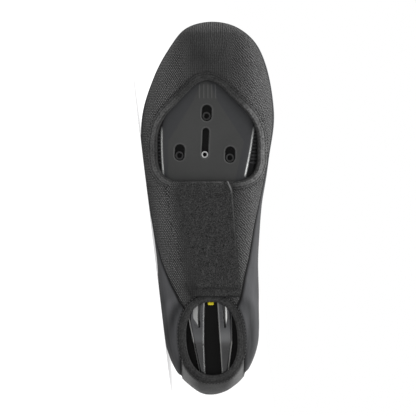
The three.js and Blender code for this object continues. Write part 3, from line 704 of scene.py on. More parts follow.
# Signed distance to a closed plan outline, positive inside: the nearest of its sides, and the sign from
# how often a ray crosses it.
def insideOutline(x, y, outline):
    a, b = outline, np.roll(outline, -1, 0)
    best = np.full(x.shape, 1e9)
    crossed = np.zeros(x.shape, bool)
    for (ax, ay), (bx, by) in zip(a, b):
        dx, dy = bx - ax, by - ay
        t = np.clip(((x - ax) * dx + (y - ay) * dy) / (dx * dx + dy * dy), 0, 1)
        best = np.minimum(best, np.hypot(x - ax - t * dx, y - ay - t * dy))
        if ay != by:
            crossed ^= ((ay > y) != (by > y)) & (x < dx * (y - ay) / dy + ax)
    return np.where(crossed, best, -best)


# Even points along a closed line
def evenly(points, count):
    closed = np.vstack([points, points[:1]])
    run = np.concatenate([[0], np.cumsum(np.linalg.norm(np.diff(closed, axis=0), axis=1))])
    at = np.linspace(0, run[-1], count, endpoint=False)
    return np.stack([np.interp(at, run, closed[:, k]) for k in range(closed.shape[1])], -1)


# Outward normals of a closed plan line: its run turned by a right angle, the side told by its area's sign.
def outlineNormals(outline):
    along = np.roll(outline, -1, 0) - np.roll(outline, 1, 0)
    along /= np.linalg.norm(along, axis=1, keepdims=True)
    area = np.sum(outline[:, 0] * np.roll(outline[:, 1], -1) - outline[:, 1] * np.roll(outline[:, 0], -1))
    return np.stack([along[:, 1], -along[:, 0]], -1) * np.sign(area)


cleatCorners = {  # in half ball widths and half lengths, reach rounds a corner off
    "x": [0.016, 0.774, 0.76, -0.756, -0.752], "y": [0.724, 0.447, 0.142, 0.144, 0.451],
    "reach": [0.34, 0.3, 0.38, 0.38, 0.3],
}


# Pentagon with each corner replaced by a quadratic curve from side to side.
def cleatOutline(count=240):
    corner = np.stack([np.array(cleatCorners["x"]) * halfBall, np.array(cleatCorners["y"]) * halfLength], -1)
    t = np.linspace(0, 1, 20)[:, None]
    pieces = []
    for i, reach in enumerate(cleatCorners["reach"]):
        here, before, after = corner[i], corner[i - 1], corner[(i + 1) % len(corner)]
        start = here + (before - here) / np.linalg.norm(before - here) * reach * halfBall
        end = here + (after - here) / np.linalg.norm(after - here) * reach * halfBall
        pieces.append(curve(start, here, end, t))
    return evenly(np.concatenate(pieces), count)


# Oval a little squarer than an ellipse, a power of sine and cosine, leaning inward at the front.
def heelOutline(count=200):
    turn = np.linspace(0, full, count * 3, endpoint=False)
    bend = 2 / heelHole["power"]
    x = heelHole["halfWidth"] * halfBall * np.sign(np.sin(turn)) * np.abs(np.sin(turn)) ** bend
    y = heelHole["halfLength"] * halfLength * np.sign(np.cos(turn)) * np.abs(np.cos(turn)) ** bend
    x, y = turned(x, y, -heelHole["lean"])
    return evenly(np.stack([x + heelHole["x"] * halfBall, y + heelHole["y"] * halfLength], -1), count)


cleatLine, heelLine = cleatOutline(), heelOutline()
cleatEdge, heelEdge = cleatOutline(90), heelOutline(80)

cover = {
    "rows": 260, "columns": 88, "rises": 66,
    "seamDip": 0.9, "seamWidth": 1.15, "holeMargin": 1.6,
    "heelLateral": 20.5, "heelMedial": -27.5, "heelTop": 60.0, "heelCorner": 14.0, "heelSetBack": 9.7,
    "hemHeight": 9.0, "hemStep": 0.7, "foldGain": 2.2, "slack": 0.3, "ease": 0.25, "sideHeight": 60.0,
}
heelMiddle = (cover["heelLateral"] + cover["heelMedial"]) / 2
heelHalf = (cover["heelLateral"] - cover["heelMedial"]) / 2
# painted light and shade of the cloth, given to its tone value
shading = {  # lightness of the cloth by place, added to 0.5, and reaches in mm
    "fold": 0.06, "foldLimit": 0.35, "panelSide": 0.4, "outerSide": 0.1, "innerSide": 0.06, "sideReach": 24.0,
    "rim": 0.26, "rimReach": 11.0, "ripple": 0.22, "rippleLength": 14.0,
}
tape = {
    "cleatWidth": 6.3, "heelWidth": 5.6, "thickness": 1.1, "tuck": 2.0, "lit": 0.38, "stitchInset": 1.5,
    "tuckShare": 0.22, "turnShare": 0.28, "turnWidth": 1.5,  # parts of the profile, and reach of its turn
}
# soft folds of the cover: three points by angle in degrees and v, width in mm, height in mm (minus sinks)
folds = [
    ((8, 0.62), (22, 0.6), (44, 0.56), 6.0, -1.0), ((356, 0.59), (340, 0.6), (312, 0.53), 6.0, -0.9),
    ((5, 0.7), (26, 0.67), (50, 0.6), 5.0, 0.9), ((352, 0.68), (330, 0.68), (304, 0.58), 5.0, 0.8),
    ((10, 0.79), (30, 0.74), (62, 0.66), 6.0, -1.1), ((356, 0.76), (327, 0.75), (292, 0.63), 7.0, -0.9),
    ((60, 0.75), (95, 0.6), (125, 0.42), 8.0, -0.8), ((300, 0.75), (265, 0.6), (235, 0.42), 8.0, -0.8),
    ((70, 0.55), (100, 0.42), (128, 0.2), 7.0, 0.7), ((290, 0.55), (260, 0.42), (232, 0.2), 7.0, 0.7),
    ((228, 0.05), (213, 0.05), (198, 0.05), 12.0, 0.55),
    ((150, 0.7), (165, 0.66), (185, 0.68), 6.0, -0.9), ((168, 0.8), (180, 0.78), (196, 0.8), 6.0, 0.7),
    ((40, 0.2), (60, 0.24), (84, 0.2), 7.0, -0.5), ((320, 0.2), (300, 0.24), (276, 0.2), 7.0, -0.5),
    ((112, -0.12), (128, -0.16), (148, -0.08), 3.2, 0.55),
    ((114, -0.3), (130, -0.32), (146, -0.26), 3.0, -0.5),
    ((248, -0.12), (232, -0.18), (214, -0.1), 3.2, 0.55),
    ((246, -0.28), (230, -0.34), (214, -0.3), 3.0, -0.55),
    ((234, -0.42), (228, -0.36), (222, -0.28), 2.6, -0.6), ((226, -0.2), (220, -0.2), (212, -0.16), 2.4, 0.5),
]


# Height of the cloth over the skin: for each fold a bell of the distance to its curve, fading to its ends
# as a sine, more above the widest line, and everywhere a slack of three sines multiplied.
def foldHeight(points):
    height = np.zeros(points.shape[:-1])
    t = np.linspace(0, 1, 11)
    for a, b, c, width, rise in folds:
        path = skin(np.radians(curve(a[0], b[0], c[0], t)), curve(a[1], b[1], c[1], t))
        best = np.full(height.shape, np.inf)
        ends = np.zeros(height.shape)
        for i in range(len(path) - 1):
            side = path[i + 1] - path[i]
            share = np.clip(((points - path[i]) @ side) / (side @ side), 0, 1)
            away = np.linalg.norm(points - path[i] - share[..., None] * side, axis=-1)
            nearer = away < best
            best = np.where(nearer, away, best)
            ends = np.where(nearer, (i + share) / (len(path) - 1), ends)
        gain = cover["foldGain"] if b[1] > 0 else 1
        height += rise * gain * bell(best, width) * np.sin(np.clip(ends, 0, 1) * math.pi) ** 0.7
    x, y, z = points[..., 0], points[..., 1], points[..., 2]
    slack = np.sin(x * 0.11 + y * 0.07) * np.sin(y * 0.09 - z * 0.12 + 1.0) * np.sin(z * 0.1 + x * 0.05 + 2.0)
    return height + cover["slack"] * slack + cover["ease"]


# Height v of the seam at an angle: straight from one value of its side's table to the next.
def seamAt(angle):
    under = np.degrees(fromToe(angle))
    lateral, medial = (np.interp(under, seams["angle"], seams[side]) for side in ("lateral", "medial"))
    return np.where(angle <= math.pi, lateral, medial)


# Distance inside the heel panel, a plan strip with a rounded top: positive within.
def insideHeelPanel(points):
    x, y, z = points[..., 0], points[..., 1], points[..., 2]
    r = cover["heelCorner"]
    dx, dz = np.abs(x - heelMiddle) - (heelHalf - r), z - (cover["heelTop"] - r)
    rounded = r - np.hypot(np.maximum(dx, 0), np.maximum(dz, 0))
    side = np.where((dx > 0) & (dz > 0), rounded, np.minimum(r - dx, r - dz))
    front = heelHole["y"] * halfLength - cover["heelSetBack"] - y
    return np.minimum(side, front)


# Both charts of the skin: the underside between its widest lines, and the sides up to the collar.
def charts():
    angle = np.linspace(0, math.pi, cover["rows"] + 1)[:, None]
    across = np.linspace(-1, 1, 2 * cover["columns"] + 1)[None, :]
    under = {"angle": np.where(across <= 0, angle, full - angle), "v": -(1 - np.abs(across)) + 0 * angle}
    around = np.concatenate([angle[:, 0], full - angle[-2:0:-1, 0], [full]])[None, :]
    rise = np.linspace(0, 1, cover["rises"] + 1)[:, None]
    sides = {"angle": around + 0 * rise, "v": rise + 0 * around}
    for chart in (under, sides):
        chart["points"] = skin(chart["angle"], chart["v"])
        chart["normals"] = skinNormal(chart["angle"], chart["v"])
    for row, side in ((0, 0), (-1, cover["rows"])):
        under["normals"][row] = sides["normals"][0, side]
    return under, sides


# Length run from the first point on, along an axis of the grid
def arcAlong(points, axis):
    steps = np.linalg.norm(np.diff(points, axis=axis), axis=-1)
    run = np.cumsum(steps, axis=axis)
    return np.concatenate([np.zeros_like(run.take([0], axis)), run], axis)


underChart, sideChart = charts()


# Painted light and shade of the cloth as a lightness, 0.5 plain: painted highlights at the heel panel's two
# sides, on ridges and on the outer side, painted shade in troughs and on the inner side. On the underside
# painted shade next to the heel opening, with bands of painted light and shade as a cosine ripple of the
# distance from it behind.
def paintedClothShading(points, v, folded, isUnder):
    x, y, z = points[..., 0], points[..., 1], points[..., 2]
    panel = insideHeelPanel(points)
    sides = smooth((np.abs(x - heelMiddle) - heelHalf * 0.35) / (heelHalf * 0.5)) * smooth((38 - z) / 16)
    lit = shading["panelSide"] * sides * (panel > 0)
    lit = lit + np.clip(folded * shading["fold"], -shading["foldLimit"], shading["foldLimit"])
    outward = shading["outerSide"] * smooth(x / shading["sideReach"])
    inward = shading["innerSide"] * smooth(-x / shading["sideReach"])
    lit = lit + (outward - inward) * smooth((70 - z) / 40)
    if not isUnder:
        return 0.5 + lit
    toHole = -insideOutline(x, y, heelEdge) - tape["heelWidth"]
    near = shading["rim"] * smooth(1 - (toHole - 1.0) / shading["rimReach"]) * smooth(toHole + 1.0)
    bend = toHole + 2.2 * np.sin(y * 0.09 + x * 0.05)
    near = near - shading["ripple"] * np.cos(bend * full / shading["rippleLength"]) * smooth((-62 - y) / 12)
    return 0.5 + lit - near * (panel < 0) * smooth(-v / 0.45)


# Cloth channels of a chart: place after folds, seam dips and the hem, arc-length UVs, painted seam shade and
# painted light and shade as tone. A seam is a bell of the distance to it, the hem a smooth step.
def clothChannels(chart, isUnder):
    points, normals = chart["points"], chart["normals"]
    v, angle = chart["v"], np.mod(chart["angle"], full)
    perV = np.linalg.norm(np.gradient(points, axis=1 if isUnder else 0), axis=-1)
    perV = perV * (cover["columns"] if isUnder else cover["rises"])
    beyond = np.degrees(fromToe(angle)) > seams["angle"][-1]
    toSeam = np.where(beyond, np.inf, np.abs(v - seamAt(angle)) * perV)
    # painted shade in the seam grooves and at the heel panel's edge
    shade = bell(np.minimum(toSeam, np.abs(insideHeelPanel(points))), cover["seamWidth"])
    s, t = arcAlong(points, 1), arcAlong(points, 0)
    if isUnder:
        lift = 0
        toTape = -insideOutline(points[..., 0], points[..., 1], heelEdge) - tape["heelWidth"]
        # painted shade in a line along the heel tape's outer edge
        shade = np.maximum(shade, 0.75 * bell(toTape - 0.5, 0.7))
        middle = [cover["columns"]]
        s = s[:, middle] - s + points[:, middle, 0]
        t = arcAlong(points[:, middle], 0) + 0 * s
    else:
        toHem = (1 - v) * perV - cover["hemHeight"] - 0.6
        lift = cover["hemStep"] * smooth(-toHem / 1.2)
        # painted shade in a line at the hem's step
        shade = np.maximum(shade, 0.6 * bell(toHem, 0.7))
    folded = foldHeight(points)
    height = folded + lift - cover["seamDip"] * shade
    placed = lieDown(points + normals * height[..., None])
    extra = np.stack([s, t, shade, paintedClothShading(points, v, folded, isUnder)], -1)
    return np.concatenate([placed / perMetre, extra], -1)


underCloth = clothChannels(underChart, True)
sideCloth = clothChannels(sideChart, False)
underX, underY = underChart["points"][..., 0], underChart["points"][..., 1]
outsideHoles = np.minimum(-insideOutline(underX, underY, cleatEdge), -insideOutline(underX, underY, heelEdge))
outsideHoles = outsideHoles - cover["holeMargin"]
seamGap = (seamAt(underChart["angle"]) - underChart["v"]) * cover["sideHeight"]  # positive in the panel
lastSeam = (math.radians(seams["angle"][-1]) - fromToe(underChart["angle"])) * halfLength
insidePanel = np.minimum(seamGap, lastSeam)
heelUnder, heelSide = insideHeelPanel(underChart["points"]), insideHeelPanel(sideChart["points"])
print("skin worked out")


# Cloth piece from cut grids: one skin, given its wall inward by a modifier.
def clothPiece(name, parts, slot, node, look=None):
    channels, loops, sizes = joined(parts)
    piece = makePiece(name, channels[:, :3], loops, sizes, slot, look, uv=channels[:, 3:5],
                      values={"seam_shade": channels[:, 5], "tone": channels[:, 6]})
    wall = piece.modifiers.new("wall", "SOLIDIFY")
    wall.thickness, wall.offset, wall.use_even_offset = shoe["wall"] / perMetre, -1.0, False
    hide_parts(node)


def makeCover():
    half = shoe["gap"] / 2
    panel = np.minimum(insidePanel, outsideHoles)
    clothPiece("panel_cloth", [cutGrid(underCloth, panel)], "woven_fabric", "underside_panel")
    upperUnder = np.minimum(np.minimum(-insidePanel - half, -heelUnder - half), outsideHoles)
    upperParts = [cutGrid(underCloth, upperUnder), cutGrid(sideCloth, -heelSide - half)]
    clothPiece("upper_cloth", upperParts, "coated_fabric", "upper")
    heelParts = [cutGrid(underCloth, np.minimum(heelUnder - half, outsideHoles)),
                 cutGrid(sideCloth, heelSide - half)]
    clothPiece("heel_cloth", heelParts, "coated_fabric", "heel_panel", "heel_twill")


makeCover()
print("cover made")


# Tape round an opening: a soft hook profile carried along the plan outline. It rises straight from its tuck,
# turns over the edge on a quarter ellipse, lies flat and is thinned by another at its outer side. Sines
# round the outline make it uneven, a bell under the stitches makes a dip. Painted shade darkens it where
# it tucks under, along its outer edge and under the stitches; a painted highlight lies on its flat part at
# the cleat opening's two sides, more on the inner side.
def makeTape(name, outline, width, node, seed):
    normals = outlineNormals(outline)
    t = np.linspace(0, 1, 30)
    before = tape["tuckShare"] + tape["turnShare"]
    tucked = np.clip(t / tape["tuckShare"], 0, 1)
    turn = np.clip((t - tape["tuckShare"]) / tape["turnShare"], 0, 1) * math.pi / 2
    flat = np.clip((t - before) / (1 - before), 0, 1)
    out = 0.25 * (1 - np.sin(tucked * math.pi / 2)) + tape["turnWidth"] * (1 - np.cos(turn))
    out = out + (width - tape["turnWidth"]) * flat
    thinned = np.sqrt(1 - 0.95 * np.maximum(0, (flat - 0.8) / 0.2) ** 2)
    rise = (shoe["gap"] + tape["thickness"]) * np.sin(turn) * thinned - tape["tuck"] * (1 - tucked)
    run = arcAlong(np.column_stack([outline, np.zeros(len(outline))]), 0)
    phase = np.linspace(0, full, len(outline), endpoint=False)[:, None]
    wave = 0.10 * np.sin(phase * 23 + seed) + 0.12 * np.sin(phase * 11 + 2 * seed) + 0.08 * np.sin(phase * 41)
    x, y = (outline[:, [k]] + normals[:, [k]] * (out * (1 + 0.15 * wave)) for k in (0, 1))
    toStitch = out - width + tape["stitchInset"]
    lifted = np.where(rise > 0, rise + wave * np.clip(rise, 0, 1) - 0.28 * bell(toStitch, 0.5), rise)
    # painted shade where the tape tucks under, along its outer edge and under the stitches
    shade = np.clip(1 - (rise + 0.6) / 1.2, 0, 1) + 0.45 * bell(out - width, 0.5) + 0.4 * bell(toStitch, 0.35)
    shade = np.broadcast_to(np.clip(shade, 0, 1), x.shape)
    # painted highlight on the cleat tape's flat part at both sides of the opening, more on the inner side
    away = np.abs(outline[:, [0]] - outline[:, 0].mean()) / np.ptp(outline[:, 0]) * 2
    inner = 1.0 + 0.5 * (outline[:, [0]] < 0)
    lit = tape["lit"] * (node == "cleat_tape") * inner * smooth((away - 0.45) / 0.45)
    lit = lit * smooth((out - 0.8) / 1.2) * smooth((width + 0.2 - out) / 1.2)
    uv = np.stack([np.broadcast_to(run[:, None], x.shape), np.broadcast_to(out + rise, x.shape)], -1)
    piece = quadPiece(name, lieDown(onUnderside(x, y, lifted)) / perMetre,
                      gridLoops(len(outline), len(t), closeRows=True), "edge_tape", uv=uv.reshape(-1, 2),
                      values={"seam_shade": shade.ravel(), "lit": lit.ravel()})
    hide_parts(node)


makeTape("cleat_tape_cloth", cleatLine, tape["cleatWidth"], "cleat_tape", 1.3)
makeTape("heel_tape_cloth", heelLine, tape["heelWidth"], "heel_tape", 0.4)
print("tapes made")

flap = {
    "y": [0.146, 0.104, -0.05, -0.229, -0.414, -0.475],
    "lateral": [0.535, 0.63, 0.576, 0.455, 0.313, 0.232],
    "medial": [-0.315, -0.368, -0.408, -0.442, -0.489, -0.481],
    "lift": 0.35, "thickness": 1.3, "climb": 7.0, "hemWidth": 5.5, "hemStep": 0.5, "feather": 7.0,
    "roundness": 1.3, "foldStart": (-14.6, 20.0), "foldLean": 0.42, "foldHeight": 0.7, "foldWidth": 0.45,
    "ridge": 0.3, "crease": 0.3, "stitchInset": 1.2,
}


# Edge of a piece across the shoe: straight from one share of its table to the next, along the shoe.
def edgeAt(table, shares, y):
    return np.interp(-y / halfLength, -np.array(table["y"]), shares) * halfBall


# Flap between the openings: a slab over the underside that steps up smoothly over both tapes, with edges
# rounded as quarter circles and the outer one faded out. Sines make it uneven, bells add a slanted fold, a
# ridge along the inner edge and a crease at the hem. Painted highlights lie along its front edge, on the fold
# and on the ridge; painted shade lies along the hem's crease and the inner edge.
def makeFlap():
    rows, columns = ((150, 110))
    first, last = flap["y"][0] * halfLength, flap["y"][-1] * halfLength
    y = np.linspace(first, last, rows)[:, None]
    lateral, medial = (edgeAt(flap, flap[side], y) for side in ("lateral", "medial"))
    x = lateral + (medial - lateral) * np.linspace(0, 1, columns)[None, :]
    y = y + 0 * x
    nearEnd = np.minimum(first - y, y - last)
    toHem = y - last - flap["hemWidth"]
    toFront = first - y - 0.9
    over = smooth((tape["cleatWidth"] + flap["climb"] - nearEnd) / flap["climb"])
    low = flap["lift"] + (tape["thickness"] + shoe["gap"]) * over
    feather = smooth(np.abs(x - lateral) / flap["feather"])
    toEdge = np.clip(np.minimum(np.abs(x - medial), nearEnd) / flap["roundness"], 0, 1)
    roundOff = np.sqrt(np.clip(1 - (1 - toEdge) ** 2, 0, 1)) * feather
    soft = 0.22 * np.sin(x * 0.33 + 0.6) * np.sin(y * 0.11) + 0.15 * np.sin(x * 0.9 + y * 0.2)
    foldX = flap["foldStart"][0] - (flap["foldStart"][1] - y) * flap["foldLean"]
    fold = flap["foldHeight"] * bell(x - foldX, flap["foldWidth"]) * np.clip((y - 12) / 4, 0, 1)
    ridge = flap["ridge"] * bell(x - medial - 0.9, 0.5) * smooth((y + 38) / 25)
    crease = flap["crease"] * bell(toHem - 0.6, 0.6)
    hem = flap["hemStep"] * np.clip(0.5 - toHem, 0, 1)
    high = low + (flap["thickness"] + hem + soft + fold + ridge - crease) * roundOff
    sheets = [lieDown(onUnderside(x, y, height)).reshape(-1, 3) / perMetre for height in (high, low)]
    # painted highlights along the front edge, on the fold and on the ridge
    frontLine = bell(toFront, 0.55) * smooth((15 - x) / 2) * smooth((x + 12) / 4)
    lit = 0.1 * frontLine + 0.2 * bell(toFront, 0.5) * bell(x + 9, 2.0) + 0.8 * fold + 0.4 * ridge * feather
    # painted shade along the hem's crease and the inner edge
    shade = 0.4 * bell(toHem - 0.6, 0.7) * feather + 0.6 * bell(x - medial, 0.6) * smooth((10 - y) / 20)
    blend = 1 - smooth((np.abs(x - lateral) - 1.0) / (flap["feather"] * 1.3))
    quads = [gridLoops(rows, columns), gridLoops(rows, columns, flip=True, first=rows * columns)]
    uv = np.concatenate([np.stack([x, halfLength - y], -1).reshape(-1, 2)] * 2)
    values = {"seam_shade": np.clip(shade, 0, 1), "blend": blend, "lit": np.clip(lit, 0, 1)}
    values = {key: np.concatenate([value.ravel()] * 2) for key, value in values.items()}
    piece = quadPiece("flap_cloth", np.concatenate(sheets), np.concatenate(quads), "loop_fabric", uv=uv,
                      values=values, merge=1e-5)
    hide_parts("flap")


makeFlap()
print("flap made")


# Distance inside a slot with round ends that lies along the cleat pattern: positive within.
def insideSlot(x, y, place, width, length):
    across, ahead = turned(x - place[0], y - place[1], -cleat["turn"])
    ahead = np.maximum(np.abs(ahead) - (length - width) / 2, 0)
    return width / 2 - np.hypot(across, ahead)


# Distance inside the heel well, which runs on under the cover round the heel opening: positive within.
def insideWell(x, y):
    return insideOutline(x, y, heelEdge) + heelHole["wellMargin"]


# Closed body between two height fields over a plan grid, where the upper one lies above the lower.
def heightBody(name, xs, ys, lower, upper, keep, slot, values=None, sharp=None):
    x, y = np.meshgrid(xs, ys)
    low, high = lower(x, y), upper(x, y)
    extra = values(x, y) if values else {}
    keys = list(extra)
    sheets = []
    for z, flip in ((low, False), (high, True)):
        channels = np.stack([x, y, z] + [extra[k] for k in keys], -1)
        sheets.append(cutGrid(channels, keep(x, y, low, high), flip))
    channels, loops, sizes = joined(sheets)
    return makePiece(name, toWorld(channels[:, :3]) / perMetre, loops, sizes, slot,
                     values={k: channels[:, 3 + i] for i, k in enumerate(keys)}, merge=8e-6, sharp=sharp)


# Grid lines along an axis from runs of start, end and step
def denser(*runs):
    lines = [np.linspace(a, b, max(2, int(abs(b - a) / step) + 1)) for a, b, step in runs]
    return np.unique(np.concatenate(lines).round(4))


sole = {
    "troughDepth": 2.6, "troughFront": 0.471, "troughBack": 0.171, "bow": 0.7,
    "lateralInner": (0.671, 0.69), "medialInner": (-0.558, -0.699),  # at the back and at the front
    "ribPitch": 2.7, "ribWidth": 1.4, "ribHeight": 1.1, "ribCount": 9,
    "markY": (81.5, 93.5), "markX": (6.6, 3.3, 0.2, -2.7, -5.6), "markHeight": 0.35, "rimHeight": 0.16,
    "plateY": (24.0, 100.0), "fallReach": 30.0, "fallInner": 0.05, "fallOuter": 0.03,
}
facets = {  # lines beyond which the plate falls away to the inner and the outer side
    "inner": ([16, 30.2, 49.7, 79.7, 104], [-19, -22, -26.5, -7.2, 4]),
    "outer": ([16, 24, 50, 79, 104], [27, 29, 29, 11, 0]),
}


# How far a point lies beyond each of those lines, straight across.
def facetSides(x, y):
    return np.interp(y, *facets["inner"]) - x, x - np.interp(y, *facets["outer"])


# How far a point lies outside the inner edge of each side gap, a straight line bowed outward as half a sine
# wave, and where the gaps start and end.
def soleTroughs(x, y):
    front, back = sole["troughFront"] * halfLength, sole["troughBack"] * halfLength
    share = np.clip((y - back) / (front - back), 0, 1)
    edges = []
    bow = sole["bow"] * np.sin(share * math.pi)
    for side, (atBack, atFront) in ((1, sole["lateralInner"]), (-1, sole["medialInner"])):
        edges.append(side * (x - (atBack + (atFront - atBack) * share) * halfBall) - bow)
    return edges, front, back


# Ribs across the side gaps: 1 on a rib, 0 between.
def ribs(y, middle):
    rows = (y - middle) / sole["ribPitch"]
    rib = smooth((sole["ribWidth"] / 2 - np.abs(rows - np.round(rows)) * sole["ribPitch"]) / 0.3 + 0.5)
    return rib * (np.abs(rows) < sole["ribCount"] / 2)


# Marks at the front of the plate: a bell across each line, eased in and out at its ends.
def marks(x, y, width):
    back, front = sole["markY"]
    ends = smooth((y - back) / 1.5) * smooth((front - y) / 1.5)
    return sum(bell(x - mark, width) for mark in sole["markX"]) * ends


# Face of the sole: the cover's underside moved in, with smooth steps down at the sides, less deep on the
# ribs, down to the slots' floors and down to the heel well. The plate falls away straight beyond its facet
# lines, and bells raise its marks and the slots' rims.
def soleLower(x, y):
    across, along = slopes(x, y)
    z = underside(x, y) + soleFace * np.sqrt(1 + np.minimum(across ** 2 + along ** 2, 400))
    inner, outer = (np.clip(away, 0, sole["fallReach"]) for away in facetSides(x, y))
    onPlate = smooth((y - sole["plateY"][0]) / 10) * smooth((sole["plateY"][1] - y) / 10)
    z = z + (sole["fallInner"] * inner + sole["fallOuter"] * outer) * onPlate
    z = z - sole["markHeight"] * marks(x, y, 0.5)
    edges, front, back = soleTroughs(x, y)
    rib = ribs(y, (front + back) / 2)
    for away in edges:
        inside = np.minimum(away, np.minimum(front - y, y - back))
        deep = soleFace + sole["troughDepth"] - sole["ribHeight"] * rib * smooth((away - 0.9) / 0.4)
        z = np.where(inside > -0.3, np.maximum(z, z + (deep - z) * smooth((inside + 0.3) / 0.6)), z)
    for place, width, length in slotShapes():
        inside = insideSlot(x, y, place, width, length)
        z = z - sole["rimHeight"] * bell(inside + 0.75, 0.55)
        z = z + (slotFloor(place) - z) * smooth((inside + 0.15) / 0.4)
    return z + (np.maximum(wellFloor, z) - z) * smooth((insideWell(x, y) + 0.2) / 0.4)


# Middle, width and length of the three cleat slots and of the one between them
def slotShapes():
    shapes = [(cleatHoles[h], cleat["slotWidth"], cleat["slotLength"]) for h in cleatHoles]
    return shapes + [(centreSlotMiddle, cleat["centreWidth"], cleat["centreLength"])]


# Top of the sole: the underside's own height along the shoe, moved up by the sole's depth and thickness.
def soleUpper(x, y):
    angle = np.arccos(np.clip(y / halfLength, -1, 1))
    return aroundTable(soleHeights, angle) + soleFace + shoe["soleThickness"]


# Lightness of the sole: bells along the bowed edges, the slots' rims and the marks are painted highlights,
# the edges' stronger on the outer side; painted shade darkens the gaps between the ribs, the slots and the
# well, whose floor is also black; and the plate beyond its facet lines is told apart.
def soleValues(x, y):
    edges, front, back = soleTroughs(x, y)
    along = smooth((y - back + 1) / 3) * smooth((front - 4 - y) / 6)
    along = along * (0.75 + 0.35 * smooth((back + 16 - y) / 14))
    # painted highlights along the bowed edges, stronger on the outer side
    bright = sum(bell(away - 0.1, 0.38) * along for away in edges) * (1.1 + 0.3 * (x > 0))
    # painted shade in the gaps between the ribs, less on the ribs
    dark = sum(smooth((away - 0.9) / 0.5) * (y > back - 0.5) * (y < front + 0.5) for away in edges)
    dark = dark * (0.88 - 0.5 * ribs(y, (front + back) / 2))
    for shape in slotShapes():
        within = insideSlot(x, y, *shape)
        # painted shade in the slots, a painted highlight on their rims
        dark = np.maximum(dark, smooth((within + 0.1) / 0.5) * 0.85)
        bright = bright + 0.035 * bell(within + 0.6, 0.35)
    # painted shade in the well, over a floor that is also black
    dark = np.maximum(dark, smooth(insideWell(x, y) / 0.6))
    # painted highlights on the marks
    bright = bright * 0.9 + marks(x, y, 0.3) * 0.04
    inner, outer = facetSides(x, y)
    facet = np.maximum(smooth(inner / 0.8), smooth(outer / 1.5))
    return {"bright": np.clip(bright, 0, 1), "dark": np.clip(dark, 0, 1), "facet": facet}


def makeSole():
    fine = 0.5
    xs = denser((-60, -44, 2.0), (-44, 44, fine), (44, 60, 2.0))
    ys = denser((-140, -129, 1.5), (-129, -64, fine * 1.3), (-64, 17, 3.0), (17, 105, fine), (105, 140, 1.5))
    sheet = heightBody("sole_shell", xs, ys, soleLower, soleUpper, lambda x, y, low, high: high - low,
                       "sole_plastic", soleValues)
    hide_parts("sole_plate")


makeSole()
print("sole made")


# Heel pad: flat top with chamfered long edges, a break across it, and a slot with a slanted side that carries
# a painted highlight, all as smooth steps of the distance from an edge.
def makePad(side):
    sign = 1 if side == "lateral" else -1
    first = pads["y"][0] * halfLength
    facetWidth = pads["facetWidth"][side]

    def fromEdges(x, y):
        out, into = (edgeAt(pads, line, y) for line in pads[side])
        slotX = out + (into - out) * pads["slotShare"][side]
        return sign * (out - x), sign * (x - into), sign * (x - slotX)

    def inSlot(y, slant):
        back = smooth((y - (first - pads["slotLength"])) / 0.5)
        return smooth((pads["slotWidth"] / 2 - np.abs(slant)) / 0.3 + 0.5) * back, back

    def lower(x, y):
        fromOut, fromIn, slant = fromEdges(x, y)
        slot, back = inSlot(y, slant)
        top = underside(x, y) + soleFace + pads["inset"]
        for away, (depth, width) in ((fromOut, pads["chamferOut"]), (fromIn, pads["chamferIn"])):
            top = top + depth * smooth(1 - away / width)
        top = top + pads["breakStep"] * smooth((pads["breakY"] - y) / 1.2)
        top = top + pads["facetDepth"] * smooth(1 - slant / facetWidth) * back * (slant > 0)
        top = top + pads["slotDepth"] * slot
        return top + (wellFloor - shoe["gap"] - top) * smooth(1 - np.minimum(fromOut, fromIn) / 0.35)

    def keep(x, y, low, high):
        fromOut, fromIn, _ = fromEdges(x, y)
        return np.minimum(np.minimum(fromOut, fromIn), insideWell(x, y) - shoe["gap"])

    def values(x, y):
        fromOut, fromIn, slant = fromEdges(x, y)
        slot, back = inSlot(y, slant)
        ahead = smooth((y - pads["breakY"]) / 3)
        strong = 0.2 + 0.6 * (ahead if side == "lateral" else 1 - ahead)
        # painted highlights along the chamfers, a painted sheen on the middle and on the slot's slanted facet
        bright = strong * bell(fromOut - 0.75, 0.38) + pads["innerLight"][side] * bell(fromIn - 0.7, 0.3)
        bright = bright + pads["sheen"][side] * bell(y - pads["breakY"] - 5, 5)
        width = facetWidth * smooth((y - (first - pads["slotLength"])) / 9)
        beyond = slant - pads["facetStart"]
        facet = smooth(beyond / 0.25) * smooth((width - beyond) / 0.35) * back
        bright = bright + pads["facetLight"][side] * facet
        # painted shade in the slot, behind the break and at the pad's foot
        dark = slot + 0.75 * (1 - ahead) + smooth(1 - np.minimum(fromOut, fromIn) / 0.4)
        return {"bright": np.clip(bright, 0, 1), "dark": np.clip(dark, 0, 1)}

    step = 0.3
    shares = pads[side][0] + pads[side][1]
    xs = np.arange(min(shares) * halfBall - 0.5, max(shares) * halfBall + 0.5, step)
    ys = np.arange(pads["y"][-1] * halfLength, first + step, step * 1.5)
    piece = heightBody("heel_pad_" + side + "_shell", xs, ys, lower,
                       lambda x, y: 0 * x + wellFloor - shoe["gap"], keep, "pad_plastic", values)
    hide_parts("heel_pad_" + side)


for side in ("lateral", "medial"):
    makePad(side)
print("heel pads made")


